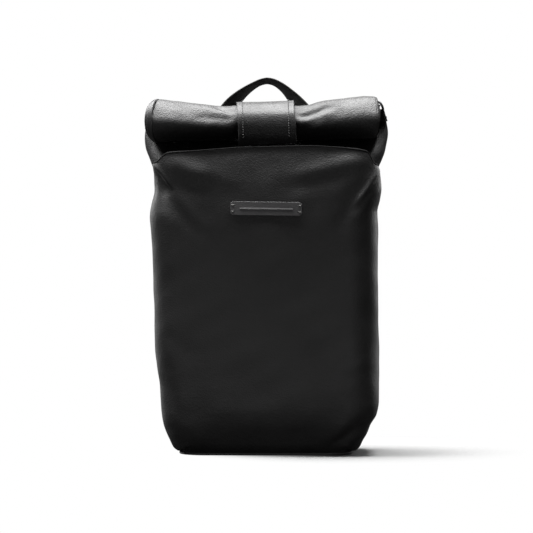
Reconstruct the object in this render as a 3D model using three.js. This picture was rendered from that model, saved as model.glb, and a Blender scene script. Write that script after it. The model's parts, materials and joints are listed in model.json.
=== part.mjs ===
// A leather roll-top backpack, drawn as the pieces it is sewn and assembled from.
// Millimetres. +Z is up and -Y is the front panel's side.
// The origin is on the floor under the middle of the bag.
import * as THREE from "three";

// ---- driving dimensions ----
const BACK_FACE = 62; // y where the wrapped front-and-sides piece meets the back
const HIDE = 1.6; // coated leather with its backing
const WEBBING = 25; // width of all carrying webbing
const WEBBING_T = 1.6;
const GAP = 0.4; // clearance between pieces that lie on each other

const ROLL = { y: 20, z: 424, radius: 28.5, length: 283, pitch: 4.2, ply: 2.4, turns: 2.5 };
const COLLAR = { front: 50, ply: 1.2, halfWidth: 139, bottom: 272, top: 427 };
const CLOSURE = { width: 74, thick: 2.4, centreY: 19, reach: 36.7, rise: 31.2, pivotZ: 404, tailZ: 396 };
const DISC = { radius: 7, thick: 1.8 }; // closure magnets
const KEEPER = { y: -16, z: 388.2 };
// The collar's folded sides stand out past the ends of the roll: height and distance from the middle.
const EAR = { front: 10, back: 46, thick: 2 };
const EAR_LINE = [[364, 146.2], [384, 150], [402, 153.2], [417, 154], [430, 152.8]];
const HOOK_LOOP = { width: 15, height: 10, thick: 1.5, up: 18 };
const HOOK = { pivotX: 152.4, pivotZ: 431, y: 30, lean: 0.34, ringWidth: 21, ringHeight: 12.5, rod: 3 };
const HOOK_TAB = { foot: 0.6, height: 10.5 }; // above the hook's pivot
const HANDLE = { rootY: 78, rootZ: 390, lean: 15 };
const PLATE = { width: 89, height: 16.2, thick: 1.8, chamfer: 2.4, z: 314 };
const TACK = { width: 3.6, height: 1.4, thick: 0.8, fromEnd: 1.9, fromMiddle: 4 };
const BASE = { halfWidth: 117, front: -58, thick: 3, radius: 34 };
const BACK = { inset: 4, top: 394, thick: 3 };
const BACK_OUTER = BACK_FACE + GAP + BACK.thick; // y of the back panel's outer face
const YOKE = { width: 190, height: 42, thick: 2, z: 368, corner: 10 };
const PAD = { width: 104, height: 160, thick: 11, x: 60, z: 252, corner: 16 };
const LUMBAR = { width: 156, height: 84, z: 92 };
const LUGGAGE_BAND = { width: 232, height: 26, thick: 1.6, z: 152, corner: 3 };
const FRAME_SHEET = { width: 236, height: 346, thick: 1.5, z: 199, corner: 20 };
const DIVIDER = { width: 250, height: 300, thick: 4, y: 26, z: 172, corner: 12 };
const ZIP = { x: -126, bottom: 92, top: 342, tape: 14, coil: 5 };
const POCKET = { width: 190, bottom: 150, top: 262, thick: 1, corner: 10 };
const POCKET_ZIP = { belowTop: 14, sliderX: -72, tapeThick: 0.8, sliderThick: 2.4, pullThick: 1.2 };
const LAPTOP_ZIP = { tapeThick: 0.8, coilThick: 1, sliderThick: 2.6, pullThick: 1.4 };
const STRAP = { width: 62, thick: 11, neckWidth: 46 };
const ADJUSTER = { x: 95, y: 89, z: 104, width: 33, height: 24, thick: 3.6 };
const LADDER_SLOT = { sideBar: 3.5, height: 4.4, upper: 5, lower: -4.5 };
const ANCHOR = { x: 101, z: 25, thick: 2 };

// Stations up the bag: height, half width, front face, radius of the front vertical edges, and how far the
// leather has turned from upright (0) to lying flat (1) where it folds back over the mouth.
const STATIONS = [
  [3.4, 115, -58, 34, 0],
  [14, 123, -66.5, 37, 0],
  [32, 131, -74, 38, 0],
  [58, 138.5, -77, 38, 0],
  [95, 141, -76.8, 38, 0],
  [200, 142.5, -73.2, 38, 0],
  [300, 143.5, -70.9, 36, 0],
  [338, 144.5, -67.3, 34, 0],
  [362, 143.5, -64.8, 32, 0],
  [380, 142.5, -61.2, 30, 0],
  [388.5, 142, -58.6, 29, 0],
  [391, 141.6, -55, 28, 0.5],
  [391.8, 139.8, -2, 28, 1],
];
const SIDE_TOP = 381; // above this the back's edge rounds in from the shell's sides

// ---- materials ----
const finish = (colour, roughness, metalness = 0) =>
  new THREE.MeshStandardMaterial({ color: colour, roughness, metalness });
const LEATHER = finish(0x2a2a2b, 0.55);
const LINING = finish(0x202226, 0.85);
const MESH = finish(0x1b1b1d, 0.95);
const BOARD = finish(0x38383a, 0.7);
const STRAPPING = finish(0x211f1c, 0.85);
const PLASTIC = finish(0x141415, 0.4);
const METAL = finish(0x3c3c3e, 0.35, 0.9);
const MAGNET = finish(0x8a8c90, 0.3, 1);
const NAMEPLATE = finish(0x4a494a, 0.5);

// ---- geometry helpers ----
const at = (x, y, z) => new THREE.Vector3(x, y, z);

// Turns every face round if the closed surface points inwards.
function facingOut(geometry) {
  const p = geometry.getAttribute("position");
  const index = geometry.index.array;
  const [a, b, c] = [at(), at(), at()];
  let sixVolumes = 0;
  for (let i = 0; i < index.length; i += 3) {
    a.fromBufferAttribute(p, index[i]);
    b.fromBufferAttribute(p, index[i + 1]);
    c.fromBufferAttribute(p, index[i + 2]);
    sixVolumes += a.dot(b.cross(c));
  }
  if (sixVolumes < 0) geometry.setIndex(Array.from(index).reverse());
  geometry.computeVertexNormals();
  return geometry;
}

// A closed sheet of material. rows[v][u] is the pair [point on one face, point on the other face].
// With loop, the last row joins the first and the sheet is a closed band.
function sheet(rows, loop = false) {
  const across = rows[0].length;
  const vertices = rows.flatMap((row) => row.flatMap(([outer, inner]) => [...outer, ...inner]));
  const outer = (v, u) => 2 * ((v % rows.length) * across + u);
  const inner = (v, u) => outer(v, u) + 1;
  const faces = [];
  const quad = (a, b, c, d) => faces.push(a, b, c, a, c, d);
  const last = loop ? rows.length : rows.length - 1;
  for (let v = 0; v < last; v++) {
    for (let u = 0; u < across - 1; u++) {
      quad(outer(v, u), outer(v, u + 1), outer(v + 1, u + 1), outer(v + 1, u));
      quad(inner(v, u), inner(v + 1, u), inner(v + 1, u + 1), inner(v, u + 1));
    }
    quad(outer(v, 0), outer(v + 1, 0), inner(v + 1, 0), inner(v, 0));
    quad(outer(v, across - 1), inner(v, across - 1), inner(v + 1, across - 1), outer(v + 1, across - 1));
  }
  if (!loop) {
    const end = rows.length - 1;
    for (let u = 0; u < across - 1; u++) {
      quad(outer(0, u), inner(0, u), inner(0, u + 1), outer(0, u + 1));
      quad(outer(end, u), outer(end, u + 1), inner(end, u + 1), inner(end, u));
    }
  }
  const geometry = new THREE.BufferGeometry();
  geometry.setAttribute("position", new THREE.Float32BufferAttribute(vertices, 3));
  geometry.setIndex(faces);
  return facingOut(geometry);
}

// A flat band along a path: each station gives its centre, the direction across it, and its face's normal.
function band(stations, width, thick) {
  return sheet(
    stations.map(({ centre, across, normal, width: own = width }) =>
      [-0.5, 0.5].map((side) => {
        const edge = centre.clone().addScaledVector(across, side * own);
        return [
          edge.clone().addScaledVector(normal, thick / 2),
          edge.clone().addScaledVector(normal, -thick / 2),
        ];
      }),
    ),
  );
}

// Band stations along points in one plane that holds the X axis: the band lies across X.
function acrossX(points, x = 0) {
  return points.map(([y, z], i) => {
    const [y0, z0] = points[Math.max(i - 1, 0)];
    const [y1, z1] = points[Math.min(i + 1, points.length - 1)];
    return { centre: at(x, y, z), across: at(1, 0, 0), normal: at(0, z0 - z1, y1 - y0).normalize() };
  });
}

function roundedShape(width, height, radius) {
  const [w, h] = [width / 2, height / 2];
  const shape = new THREE.Shape();
  shape.absarc(w - radius, h - radius, radius, 0, Math.PI / 2);
  shape.absarc(-w + radius, h - radius, radius, Math.PI / 2, Math.PI);
  shape.absarc(-w + radius, -h + radius, radius, Math.PI, Math.PI * 1.5);
  shape.absarc(w - radius, -h + radius, radius, Math.PI * 1.5, Math.PI * 2);
  return shape;
}

// A flat plate in the XY plane, centred on the origin, thick along Z.
function plate(shape, thick, curveSegments = 5) {
  const geometry = new THREE.ExtrudeGeometry(shape, { depth: thick, bevelEnabled: false, curveSegments });
  return geometry.translate(0, 0, -thick / 2);
}

const root = new THREE.Group();

function add(name, geometry, material, place = {}) {
  const mesh = new THREE.Mesh(geometry, material);
  mesh.name = name;
  if (place.position) mesh.position.copy(place.position);
  if (place.rotation) mesh.rotation.set(...place.rotation);
  root.add(mesh);
  return mesh;
}

const SIDES = { left: -1, right: 1 };
const STANDING = [Math.PI / 2, 0, 0]; // turns a plate from the XY plane to face along Y
const onEachSide = (build) => Object.entries(SIDES).forEach(([side, sign]) => build(side, sign));

// ---- the wrapped shell ----
// The bag's outline at a height, from its rear left edge round the front to its rear right edge.
function wrapOutline([z, halfWidth, front, radius], inset, arcSteps) {
  const [a, f, r] = [halfWidth - inset, front + inset, radius - inset];
  const points = [at(-a, BACK_FACE, z)];
  for (let i = 0; i <= arcSteps; i++) {
    const turn = (Math.PI / 2) * (i / arcSteps);
    points.push(at(-a + r - r * Math.cos(turn), f + r - r * Math.sin(turn), z));
  }
  const left = points.slice(1).reverse();
  return [...points, ...left.map((p) => at(-p.x, p.y, z)), at(a, BACK_FACE, z)];
}

function wrap(stations, inset, thick, arcSteps) {
  return sheet(
    stations.map(([z, halfWidth, front, radius, lying]) => {
      const innerZ = z - thick * lying;
      const outer = wrapOutline([z, halfWidth, front, radius], inset, arcSteps);
      const inner = wrapOutline([innerZ, halfWidth, front, radius], inset + thick * (1 - lying), arcSteps);
      return outer.map((point, i) => [point, inner[i]]);
    }),
  );
}

// A value from STATIONS at any height: column 1 is the half width and column 2 the front face.
function bodyAt(z, column) {
  const above = Math.max(1, STATIONS.findIndex((s) => s[0] >= z));
  const [lower, upper] = [STATIONS[above - 1], STATIONS[above]];
  const share = (z - lower[0]) / (upper[0] - lower[0]);
  return lower[column] + share * (upper[column] - lower[column]);
}

function shell() {
  add("front_shell", wrap(STATIONS, 0, HIDE, 4), LEATHER);
  const lined = STATIONS.filter(([z]) => z > 20 && z < 345);
  add("main_lining", wrap(lined, HIDE + 0.8, 0.8, 2), LINING);
}

// ---- base ----
function baseShape(inset) {
  const depth = BACK_FACE - BASE.front - 2 * inset;
  return roundedShape(2 * (BASE.halfWidth - inset), depth, BASE.radius - inset);
}

function base() {
  const middle = (BACK_FACE + BASE.front) / 2;
  add("base_panel", plate(baseShape(3), BASE.thick), LEATHER, { position: at(0, middle, BASE.thick / 2) });
  add("base_board", plate(baseShape(9), 1.8), BOARD, { position: at(0, middle, BASE.thick + GAP + 0.9) });
  const outline = baseShape(0.6).getPoints(4).slice(0, -1);
  const cord = 1.5;
  const ring = outline.map(({ x, y }) => {
    const [px, py] = [x, y + middle];
    const inward = at(-x, -y, 0).setLength(cord);
    return [
      [at(px, py, 0.4), at(px, py, 3)],
      [at(px + inward.x, py + inward.y, 0.2), at(px + inward.x, py + inward.y, 3)],
    ];
  });
  add("base_piping", sheet(ring, true), LEATHER);
}

// ---- back ----
// The back follows the wrapped shell's sides and closes over the mouth with rounded corners.
function backShape() {
  const side = STATIONS.filter(([z]) => z < SIDE_TOP).map(([z, halfWidth]) => [halfWidth - BACK.inset, z]);
  const corner = [[136.5, 387], [132, 391.5], [125, BACK.top]];
  const edge = [...side, ...corner];
  const mirrored = edge.map(([x, z]) => [-x, z]).reverse();
  return new THREE.Shape([...edge, ...mirrored].map(([x, z]) => new THREE.Vector2(x, z)));
}

// A flat piece that stands facing the back: its outline, thickness and place.
function addStanding(name, shape, thick, material, [x, y, z], curveSegments = 3) {
  add(name, plate(shape, thick, curveSegments), material, { position: at(x, y, z), rotation: STANDING });
}

const roundedPanel = ({ width, height, corner }) => roundedShape(width, height, corner);

function back() {
  const panelY = BACK_OUTER - BACK.thick / 2;
  const frameY = BACK_FACE - GAP - 0.25 - FRAME_SHEET.thick / 2;
  const yokeY = BACK_OUTER + GAP + YOKE.thick / 2;
  addStanding("back_panel", backShape(), BACK.thick, LEATHER, [0, panelY, 0]);
  addStanding("frame_sheet", roundedPanel(FRAME_SHEET), FRAME_SHEET.thick, BOARD, [0, frameY, FRAME_SHEET.z]);
  addStanding("laptop_divider", roundedPanel(DIVIDER), DIVIDER.thick, LINING, [0, DIVIDER.y, DIVIDER.z]);
  addStanding("yoke_patch", roundedPanel(YOKE), YOKE.thick, LEATHER, [0, yokeY, YOKE.z]);
}

// The padding of the back, and the band across it.
function padding() {
  const padY = BACK_OUTER + GAP + PAD.thick / 2;
  onEachSide((side, s) => {
    addStanding(`back_pad_${side}`, roundedPanel(PAD), PAD.thick, MESH, [s * PAD.x, padY, PAD.z], 4);
  });
  const lumbar = roundedShape(LUMBAR.width, LUMBAR.height, PAD.corner);
  addStanding("lumbar_pad", lumbar, PAD.thick, MESH, [0, padY, LUMBAR.z], 4);
  const { thick, z } = LUGGAGE_BAND;
  const bandY = padY + PAD.thick / 2 + GAP + thick / 2;
  addStanding("luggage_band", roundedPanel(LUGGAGE_BAND), thick, STRAPPING, [0, bandY, z], 2);
}

// ---- zips: a tape, a slider that runs along it, and a pull that hangs from the slider ----
// The pocket hangs on the divider's front face, and its zip lies on the pocket.
function pocket() {
  const { width, bottom, top, thick, corner } = POCKET;
  const { belowTop, sliderX, tapeThick, sliderThick, pullThick } = POCKET_ZIP;
  const height = top - bottom;
  const zipZ = top - belowTop;
  const faceY = DIVIDER.y - DIVIDER.thick / 2 - 0.7 - thick / 2;
  const tapeY = faceY - thick / 2 - 0.5 - tapeThick / 2;
  const sliderY = tapeY - tapeThick / 2 - GAP - sliderThick / 2;
  const pullY = sliderY - sliderThick / 2 - GAP - pullThick / 2;
  const face = roundedShape(width, height, corner);
  addStanding("inner_pocket", face, thick, LINING, [0, faceY, bottom + height / 2]);
  const tape = roundedShape(width - 14, 18, 2);
  addStanding("pocket_zip_tape", tape, tapeThick, STRAPPING, [0, tapeY, zipZ], 2);
  const slider = new THREE.BoxGeometry(9, sliderThick, 7);
  add("pocket_zip_slider", slider, METAL, { position: at(sliderX, sliderY, zipZ) });
  addStanding("pocket_zip_pull", roundedShape(6, 26, 2.6), pullThick, PLASTIC, [sliderX, pullY, zipZ - 11]);
}

function laptopZip() {
  const length = ZIP.top - ZIP.bottom;
  const middle = (ZIP.top + ZIP.bottom) / 2;
  const { tapeThick, coilThick, sliderThick, pullThick } = LAPTOP_ZIP;
  const tapeY = BACK_OUTER + GAP + tapeThick / 2;
  const coilY = tapeY + tapeThick / 2 + GAP + coilThick / 2;
  const sliderY = coilY + coilThick / 2 + GAP + sliderThick / 2;
  const pullY = sliderY + sliderThick / 2 + GAP + pullThick / 2;
  const tape = roundedShape(ZIP.tape, length, 2);
  addStanding("laptop_zip_tape", tape, tapeThick, STRAPPING, [ZIP.x, tapeY, middle], 2);
  const coil = roundedShape(ZIP.coil, length - 8, 2);
  addStanding("laptop_zip_coil", coil, coilThick, PLASTIC, [ZIP.x, coilY, middle], 2);
  const slider = new THREE.BoxGeometry(8, sliderThick, 11);
  add("laptop_zip_slider", slider, METAL, { position: at(ZIP.x, sliderY, ZIP.top - 12) });
  addStanding("laptop_zip_pull", roundedShape(7, 28, 3), pullThick, PLASTIC, [ZIP.x, pullY, ZIP.top - 22]);
}

// ---- nameplate on the front ----
function nameplate() {
  const [w, h, c] = [PLATE.width / 2, PLATE.height / 2, PLATE.chamfer];
  const front = bodyAt(PLATE.z, 2);
  const lean = Math.atan2(bodyAt(PLATE.z + h, 2) - bodyAt(PLATE.z - h, 2), 2 * h);
  const right = [[w - c, -h], [w, -h + c], [w, h - c], [w - c, h]];
  const left = right.map(([x, y]) => [-x, y]).reverse();
  const shape = new THREE.Shape([...right, ...left].map(([x, y]) => new THREE.Vector2(x, y)));
  const rotation = [Math.PI / 2 - lean, 0, 0];
  // A place on the leaning front: out from the leather, and up and across from the plate's middle.
  const place = (out, up, across) => {
    const y = front - out * Math.cos(lean) + up * Math.sin(lean);
    return at(across, y, PLATE.z + out * Math.sin(lean) + up * Math.cos(lean));
  };
  const plateOut = GAP + PLATE.thick / 2;
  const tackOut = plateOut + PLATE.thick / 2 + GAP + TACK.thick / 2;
  add("nameplate", plate(shape, PLATE.thick), NAMEPLATE, { position: place(plateOut, 0, 0), rotation });
  [[-1, 1], [1, 1], [-1, -1], [1, -1]].forEach(([sx, sz], i) => {
    const tack = plate(roundedShape(TACK.width, TACK.height, 0.6), TACK.thick, 2);
    const position = place(tackOut, sz * TACK.fromMiddle, sx * (w - TACK.fromEnd));
    add(`nameplate_tack_${i + 1}`, tack, STRAPPING, { position, rotation });
  });
}

// ---- collar, rolled forward ----
function collar() {
  const { front, ply, halfWidth, bottom, top } = COLLAR;
  const layer = () => new THREE.BoxGeometry(2 * halfWidth, ply, top - bottom);
  const middle = (top + bottom) / 2;
  add("collar_front", layer(), LEATHER, { position: at(0, front + ply / 2, middle) });
  add("collar_back", layer(), LEATHER, { position: at(0, front + ply * 1.5 + GAP, middle) });
  const half = EAR.thick / 2;
  onEachSide((side, s) => {
    const rows = EAR_LINE.map(([z, x]) =>
      [EAR.front, EAR.back].map((y) => [at(s * (x + half), y, z), at(s * (x - half), y, z)]),
    );
    add(`gusset_${side}`, sheet(rows), LEATHER);
  });
}

function roll() {
  const steps = Math.round(ROLL.turns * 18);
  const spiral = (offset) =>
    Array.from({ length: steps + 1 }, (_, i) => {
      const turn = (2 * Math.PI * ROLL.turns * i) / steps;
      const r = ROLL.radius - offset - (ROLL.pitch * turn) / (2 * Math.PI);
      return new THREE.Vector2(r * Math.cos(turn), r * Math.sin(turn));
    });
  const shape = new THREE.Shape([...spiral(0), ...spiral(ROLL.ply).reverse()]);
  // The extrusion's X, Y and Z become the bag's Y, Z and X.
  const rotation = [Math.PI / 2, Math.PI / 2, 0];
  const centre = at(0, ROLL.y, ROLL.z);
  add("roll", plate(shape, ROLL.length), LEATHER, { position: centre, rotation });
  add("mouth_stiffener", new THREE.BoxGeometry(ROLL.length - 20, 18, 1.6), BOARD, { position: centre });
  onEachSide((side, s) => {
    const loop = new THREE.BoxGeometry(HOOK_LOOP.thick, HOOK_LOOP.width, HOOK_LOOP.height);
    const x = ROLL.length / 2 + GAP + HOOK_LOOP.thick / 2;
    add(`hook_loop_${side}`, loop, STRAPPING, { position: at(s * x, HOOK.y, ROLL.z + HOOK_LOOP.up) });
  });
}

// ---- closure strap over the middle of the roll, with its magnet ----
function closureStrap() {
  const { width, thick, centreY, reach, rise, pivotZ, tailZ } = CLOSURE;
  const over = Array.from({ length: 13 }, (_, i) => {
    const turn = (Math.PI * i) / 12;
    return [centreY + reach * Math.cos(turn), ROLL.z + rise * Math.sin(turn)];
  });
  const path = [[centreY + reach, pivotZ], ...over, [centreY - reach, tailZ]];
  add("closure_strap", band(acrossX(path), width, thick), LEATHER);
  const disc = () => new THREE.CylinderGeometry(DISC.radius, DISC.radius, DISC.thick, 16);
  const behindTail = centreY - reach + thick / 2 + GAP + DISC.thick / 2;
  add("strap_magnet", disc(), MAGNET, { position: at(0, behindTail, tailZ + DISC.radius + 2) });
  add("keeper_magnet", disc(), MAGNET, { position: at(0, KEEPER.y, KEEPER.z), rotation: STANDING });
}

// ---- hooks at the ends of the roll ----
// Each hook stands on a webbing tab from the top of the gusset and leans in over the end of the roll.
function hookRing() {
  const { ringWidth, ringHeight, rod } = HOOK;
  const ring = roundedShape(ringWidth, ringHeight, 4);
  const inside = roundedShape(ringWidth - 2 * rod, ringHeight - 2 * rod, 1.6);
  ring.holes.push(new THREE.Path(inside.getPoints(3).slice(0, -1).reverse()));
  return plate(ring, rod, 3);
}

function hooks() {
  const { foot, height } = HOOK_TAB;
  const ringUp = foot + height + GAP + HOOK.ringHeight / 2;
  const facingSideways = [Math.PI / 2, Math.PI / 2, 0];
  onEachSide((side, s) => {
    const holder = new THREE.Group();
    holder.position.set(s * HOOK.pivotX, HOOK.y, HOOK.pivotZ);
    holder.rotation.set(0, -s * HOOK.lean, 0);
    root.add(holder);
    const tab = new THREE.BoxGeometry(WEBBING_T, HOOK_LOOP.width, height);
    const tabPlace = { position: at(0, 0, foot + height / 2) };
    const ringPlace = { position: at(0, 0, ringUp), rotation: facingSideways };
    holder.add(add(`hook_webbing_${side}`, tab, STRAPPING, tabPlace));
    holder.add(add(`side_hook_${side}`, hookRing(), METAL, ringPlace));
  });
}

// ---- top handle ----
function topHandle() {
  // From foot to foot: across the bag, and up from the foot.
  const arch = [[-68, 2], [-59, 32], [-42, 62], [-20, 84], [0, 92.5], [20, 84], [42, 62], [59, 32], [68, 2]];
  const curve = new THREE.CatmullRomCurve3(arch.map(([x, up]) => at(x, 0, up)));
  const steps = 16;
  const lean = THREE.MathUtils.degToRad(HANDLE.lean);
  const stations = Array.from({ length: steps + 1 }, (_, i) => {
    const u = i / steps;
    const along = curve.getTangent(u);
    // The webbing's face turns from flat on the back at each foot to nearly level at the top.
    const twist = 1.25 * Math.sin(Math.PI * u) ** 0.8;
    const flat = at(0, 1, 0);
    const upright = flat.clone().cross(along).normalize();
    const normal = flat.clone().multiplyScalar(Math.cos(twist)).addScaledVector(upright, Math.sin(twist));
    return { centre: curve.getPoint(u), across: normal.clone().cross(along).normalize(), normal };
  });
  add("top_handle", band(stations, WEBBING, WEBBING_T), STRAPPING, {
    position: at(0, HANDLE.rootY, HANDLE.rootZ),
    rotation: [-lean, 0, 0],
  });
}

// ---- shoulder straps ----
// Down the strap: distance from the middle, y, height, and width.
const STRAP_LINE = [
  [50, 76, 376, STRAP.neckWidth],
  [52, 86, 360, STRAP.width],
  [57, 96, 325, STRAP.width],
  [67, 101, 260, STRAP.width],
  [80, 97, 195, 52],
  [91, 91.5, 142, 34],
];

function paddedStrap(s) {
  const curve = new THREE.CatmullRomCurve3(STRAP_LINE.map(([x, y, z]) => at(s * x, y, z)));
  const steps = 14;
  const spans = STRAP_LINE.length - 1;
  const edgeThickness = [0.45, 1, 1, 1, 0.45];
  const rows = Array.from({ length: steps + 1 }, (_, i) => {
    const u = i / steps;
    const k = Math.min(Math.floor(u * spans), spans - 1);
    const width = THREE.MathUtils.lerp(STRAP_LINE[k][3], STRAP_LINE[k + 1][3], u * spans - k);
    const thick = STRAP.thick * Math.min(1, 0.35 + 4 * u, 0.45 + 5 * (1 - u));
    const along = curve.getTangent(u);
    const across = at(along.z, 0, -along.x).normalize();
    const normal = across.clone().cross(along).normalize();
    return [-0.5, -0.4, 0, 0.4, 0.5].map((share, j) => {
      const centre = curve.getPoint(u).addScaledVector(across, share * width);
      const half = (thick / 2) * edgeThickness[j];
      return [centre.clone().addScaledVector(normal, half), centre.clone().addScaledVector(normal, -half)];
    });
  });
  return sheet(rows);
}

// A ladder lock: two slots between three bars.
function ladderLock() {
  const { width, height, thick } = ADJUSTER;
  const frame = roundedShape(width, height, 3);
  const { sideBar, height: slotHeight, upper, lower } = LADDER_SLOT;
  const slot = roundedShape(width - 2 * sideBar, slotHeight, 1).getPoints(2).slice(0, -1).reverse();
  [upper, lower].forEach((up) => {
    const outline = slot.map((point) => new THREE.Vector2(point.x, point.y + up));
    frame.holes.push(new THREE.Path(outline));
  });
  return plate(frame, thick, 3);
}

// The webbing that rises from the bag's lower corner to the ladder lock.
function lowerWebbing(s) {
  const inner = ADJUSTER.y - 4;
  const top = ADJUSTER.z + ADJUSTER.height / 2 - 2;
  const rise = [[ANCHOR.x, 69.5, 32], [99, 74, 56], [96, inner, 88], [ADJUSTER.x, inner, top]];
  const [across, normal] = [at(1, 0, 0), at(0, 1, 0)];
  const stations = rise.map(([x, y, z]) => ({ centre: at(s * x, y, z), across, normal }));
  return band(stations, WEBBING, WEBBING_T);
}

function shoulderStraps() {
  const { x, y, z, height } = ADJUSTER;
  const anchorOutline = [[-18, -13], [18, -13], [18, 1], [12, 13], [-12, 13], [-18, 1]];
  const anchor = new THREE.Shape(anchorOutline.map(([px, py]) => new THREE.Vector2(px, py)));
  const anchorY = BACK_OUTER + GAP + ANCHOR.thick / 2;
  onEachSide((side, s) => {
    add(`shoulder_strap_${side}`, paddedStrap(s), MESH);
    const tab = acrossX([[91.2, 139], [89.5, 128], [y, z + height / 2 + GAP]], s * (x - 1));
    add(`strap_tab_${side}`, band(tab, WEBBING, WEBBING_T), STRAPPING);
    add(`adjuster_${side}`, ladderLock(), PLASTIC, { position: at(s * x, y, z), rotation: STANDING });
    add(`lower_webbing_${side}`, lowerWebbing(s), STRAPPING);
    const tail = acrossX([[y + 4, z + 6], [y + 5, 80], [y + 3, 44]], s * x);
    add(`webbing_tail_${side}`, band(tail, WEBBING, WEBBING_T), STRAPPING);
    addStanding(`strap_anchor_${side}`, anchor, ANCHOR.thick, LEATHER, [s * ANCHOR.x, anchorY, ANCHOR.z]);
  });
}

shell();
base();
back();
padding();
pocket();
laptopZip();
nameplate();
collar();
roll();
closureStrap();
hooks();
topHandle();
shoulderStraps();

export default root;
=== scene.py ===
import json
import math

import bmesh
import bpy
import numpy as np
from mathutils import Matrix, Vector
from mathutils.bvhtree import BVHTree

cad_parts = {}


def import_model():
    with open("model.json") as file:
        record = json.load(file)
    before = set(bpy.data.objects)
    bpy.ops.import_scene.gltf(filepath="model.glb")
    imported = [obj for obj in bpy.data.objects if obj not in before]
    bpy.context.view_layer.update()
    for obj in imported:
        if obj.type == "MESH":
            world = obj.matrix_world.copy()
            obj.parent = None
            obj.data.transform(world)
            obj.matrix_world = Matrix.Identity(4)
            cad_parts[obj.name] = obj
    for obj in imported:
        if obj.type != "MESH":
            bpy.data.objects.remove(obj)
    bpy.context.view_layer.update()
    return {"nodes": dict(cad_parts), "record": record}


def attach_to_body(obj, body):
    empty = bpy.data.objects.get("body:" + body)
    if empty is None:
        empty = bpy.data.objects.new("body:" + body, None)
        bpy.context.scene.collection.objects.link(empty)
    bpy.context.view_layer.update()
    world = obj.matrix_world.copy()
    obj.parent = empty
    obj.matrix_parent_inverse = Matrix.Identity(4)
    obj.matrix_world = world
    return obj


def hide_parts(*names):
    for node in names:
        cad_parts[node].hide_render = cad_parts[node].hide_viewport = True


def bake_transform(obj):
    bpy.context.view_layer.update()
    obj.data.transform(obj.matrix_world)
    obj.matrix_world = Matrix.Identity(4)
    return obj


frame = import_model()

# Lengths in this script are millimetres in the frame's own axes, and become metres in to_object().
MM = 0.001

# ------------------------------------------------------------------ numbers shared by several pieces
BACK_SEAM_Y = 62.0      # the wrapped shell meets the back here
FACE_Y = 65.4           # outer face of the back panel
HIDE = 1.6              # leather thickness
ROLL_Y, ROLL_Z = 20.0, 424.0    # the line the roll turns about
WEBBING = 25.0          # width of the webbing


# ------------------------------------------------------------------ small maths
def smooth(a, b, x):
    """0 at a, 1 at b, and a soft step between them."""
    t = np.clip((np.asarray(x, float) - a) / (b - a), 0, 1)
    return t * t * (3 - 2 * t)


def hermite(t, length, start, end, start_slope, end_slope):
    """The cubic from start to end over a stretch of the given length, t being the share of it."""
    return ((1 + 2 * t) * (1 - t) ** 2 * start + t * (1 - t) ** 2 * length * start_slope
            + t * t * (3 - 2 * t) * end + t * t * (t - 1) * length * end_slope)


def spline(x, xs, ys):
    """Smooth curve through the points (xs, ys), flat beyond the ends."""
    xs, ys = np.asarray(xs, float), np.asarray(ys, float)
    x = np.clip(np.asarray(x, float), xs[0], xs[-1])
    d = np.diff(ys) / np.diff(xs)
    before, after = d[:-1], d[1:]
    total = np.where(before + after == 0, 1, before + after)
    inner = np.where(before * after > 0, 2 * before * after / total, 0)
    m = np.concatenate(([d[0]], inner, [d[-1]]))
    i = np.clip(np.searchsorted(xs, x, side="right") - 1, 0, len(xs) - 2)
    h = xs[i + 1] - xs[i]
    return hermite((x - xs[i]) / h, h, ys[i], ys[i + 1], m[i], m[i + 1])


def waves(p, size, seed):
    """Soft unevenness between about -1 and 1 at the points p (..., 3); size is the length of one wave."""
    total = np.zeros(p.shape[:-1])
    for k in range(7):
        turn = 2.39996 * (k + seed * 1.7)
        tilt = 0.9 * math.sin(1.3 * k + seed)
        way = np.array([math.cos(turn) * math.cos(tilt), math.sin(turn) * math.cos(tilt), math.sin(tilt)])
        total += np.sin(p @ way * (2 * math.pi / (size * (0.7 + 0.13 * k))) + 1.9 * k + seed)
    return total / 4.0


def unit(v):
    return v / np.maximum(np.linalg.norm(v, axis=-1, keepdims=True), 1e-9)


def grid_normals(p, loop=False):
    """Unit normals of a grid of points (rows, columns, 3)."""
    if loop:
        du = np.roll(p, -1, axis=1) - np.roll(p, 1, axis=1)
    else:
        du = np.gradient(p, axis=1)
    dv = np.gradient(p, axis=0)
    return unit(np.cross(du, dv))


# ------------------------------------------------------------------ meshes
def metres(point):
    return tuple(c * MM for c in point)


def link_object(name, data):
    """A new object in the scene, made of the given mesh, light or camera."""
    obj = bpy.data.objects.new(name, data)
    bpy.context.scene.collection.objects.link(obj)
    return obj


def to_object(name, points, faces, material, pattern=None):
    """A smooth-shaded object with its faces pointing out, from points in millimetres."""
    mesh = bpy.data.meshes.new(name)
    mesh.from_pydata((np.asarray(points, float) * MM).tolist(), [], [list(map(int, f)) for f in faces])
    mesh.validate()
    mesh.update()
    mesh.polygons.foreach_set("use_smooth", [True] * len(mesh.polygons))
    if pattern is not None:
        layer = mesh.attributes.new("pattern", "FLOAT_VECTOR", "POINT")
        layer.data.foreach_set("vector", np.asarray(pattern, np.float32).ravel())
    bm = bmesh.new()
    bm.from_mesh(mesh)
    bmesh.ops.recalc_face_normals(bm, faces=bm.faces)
    bm.to_mesh(mesh)
    bm.free()
    mesh.materials.append(material)
    return link_object(name, mesh)


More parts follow.
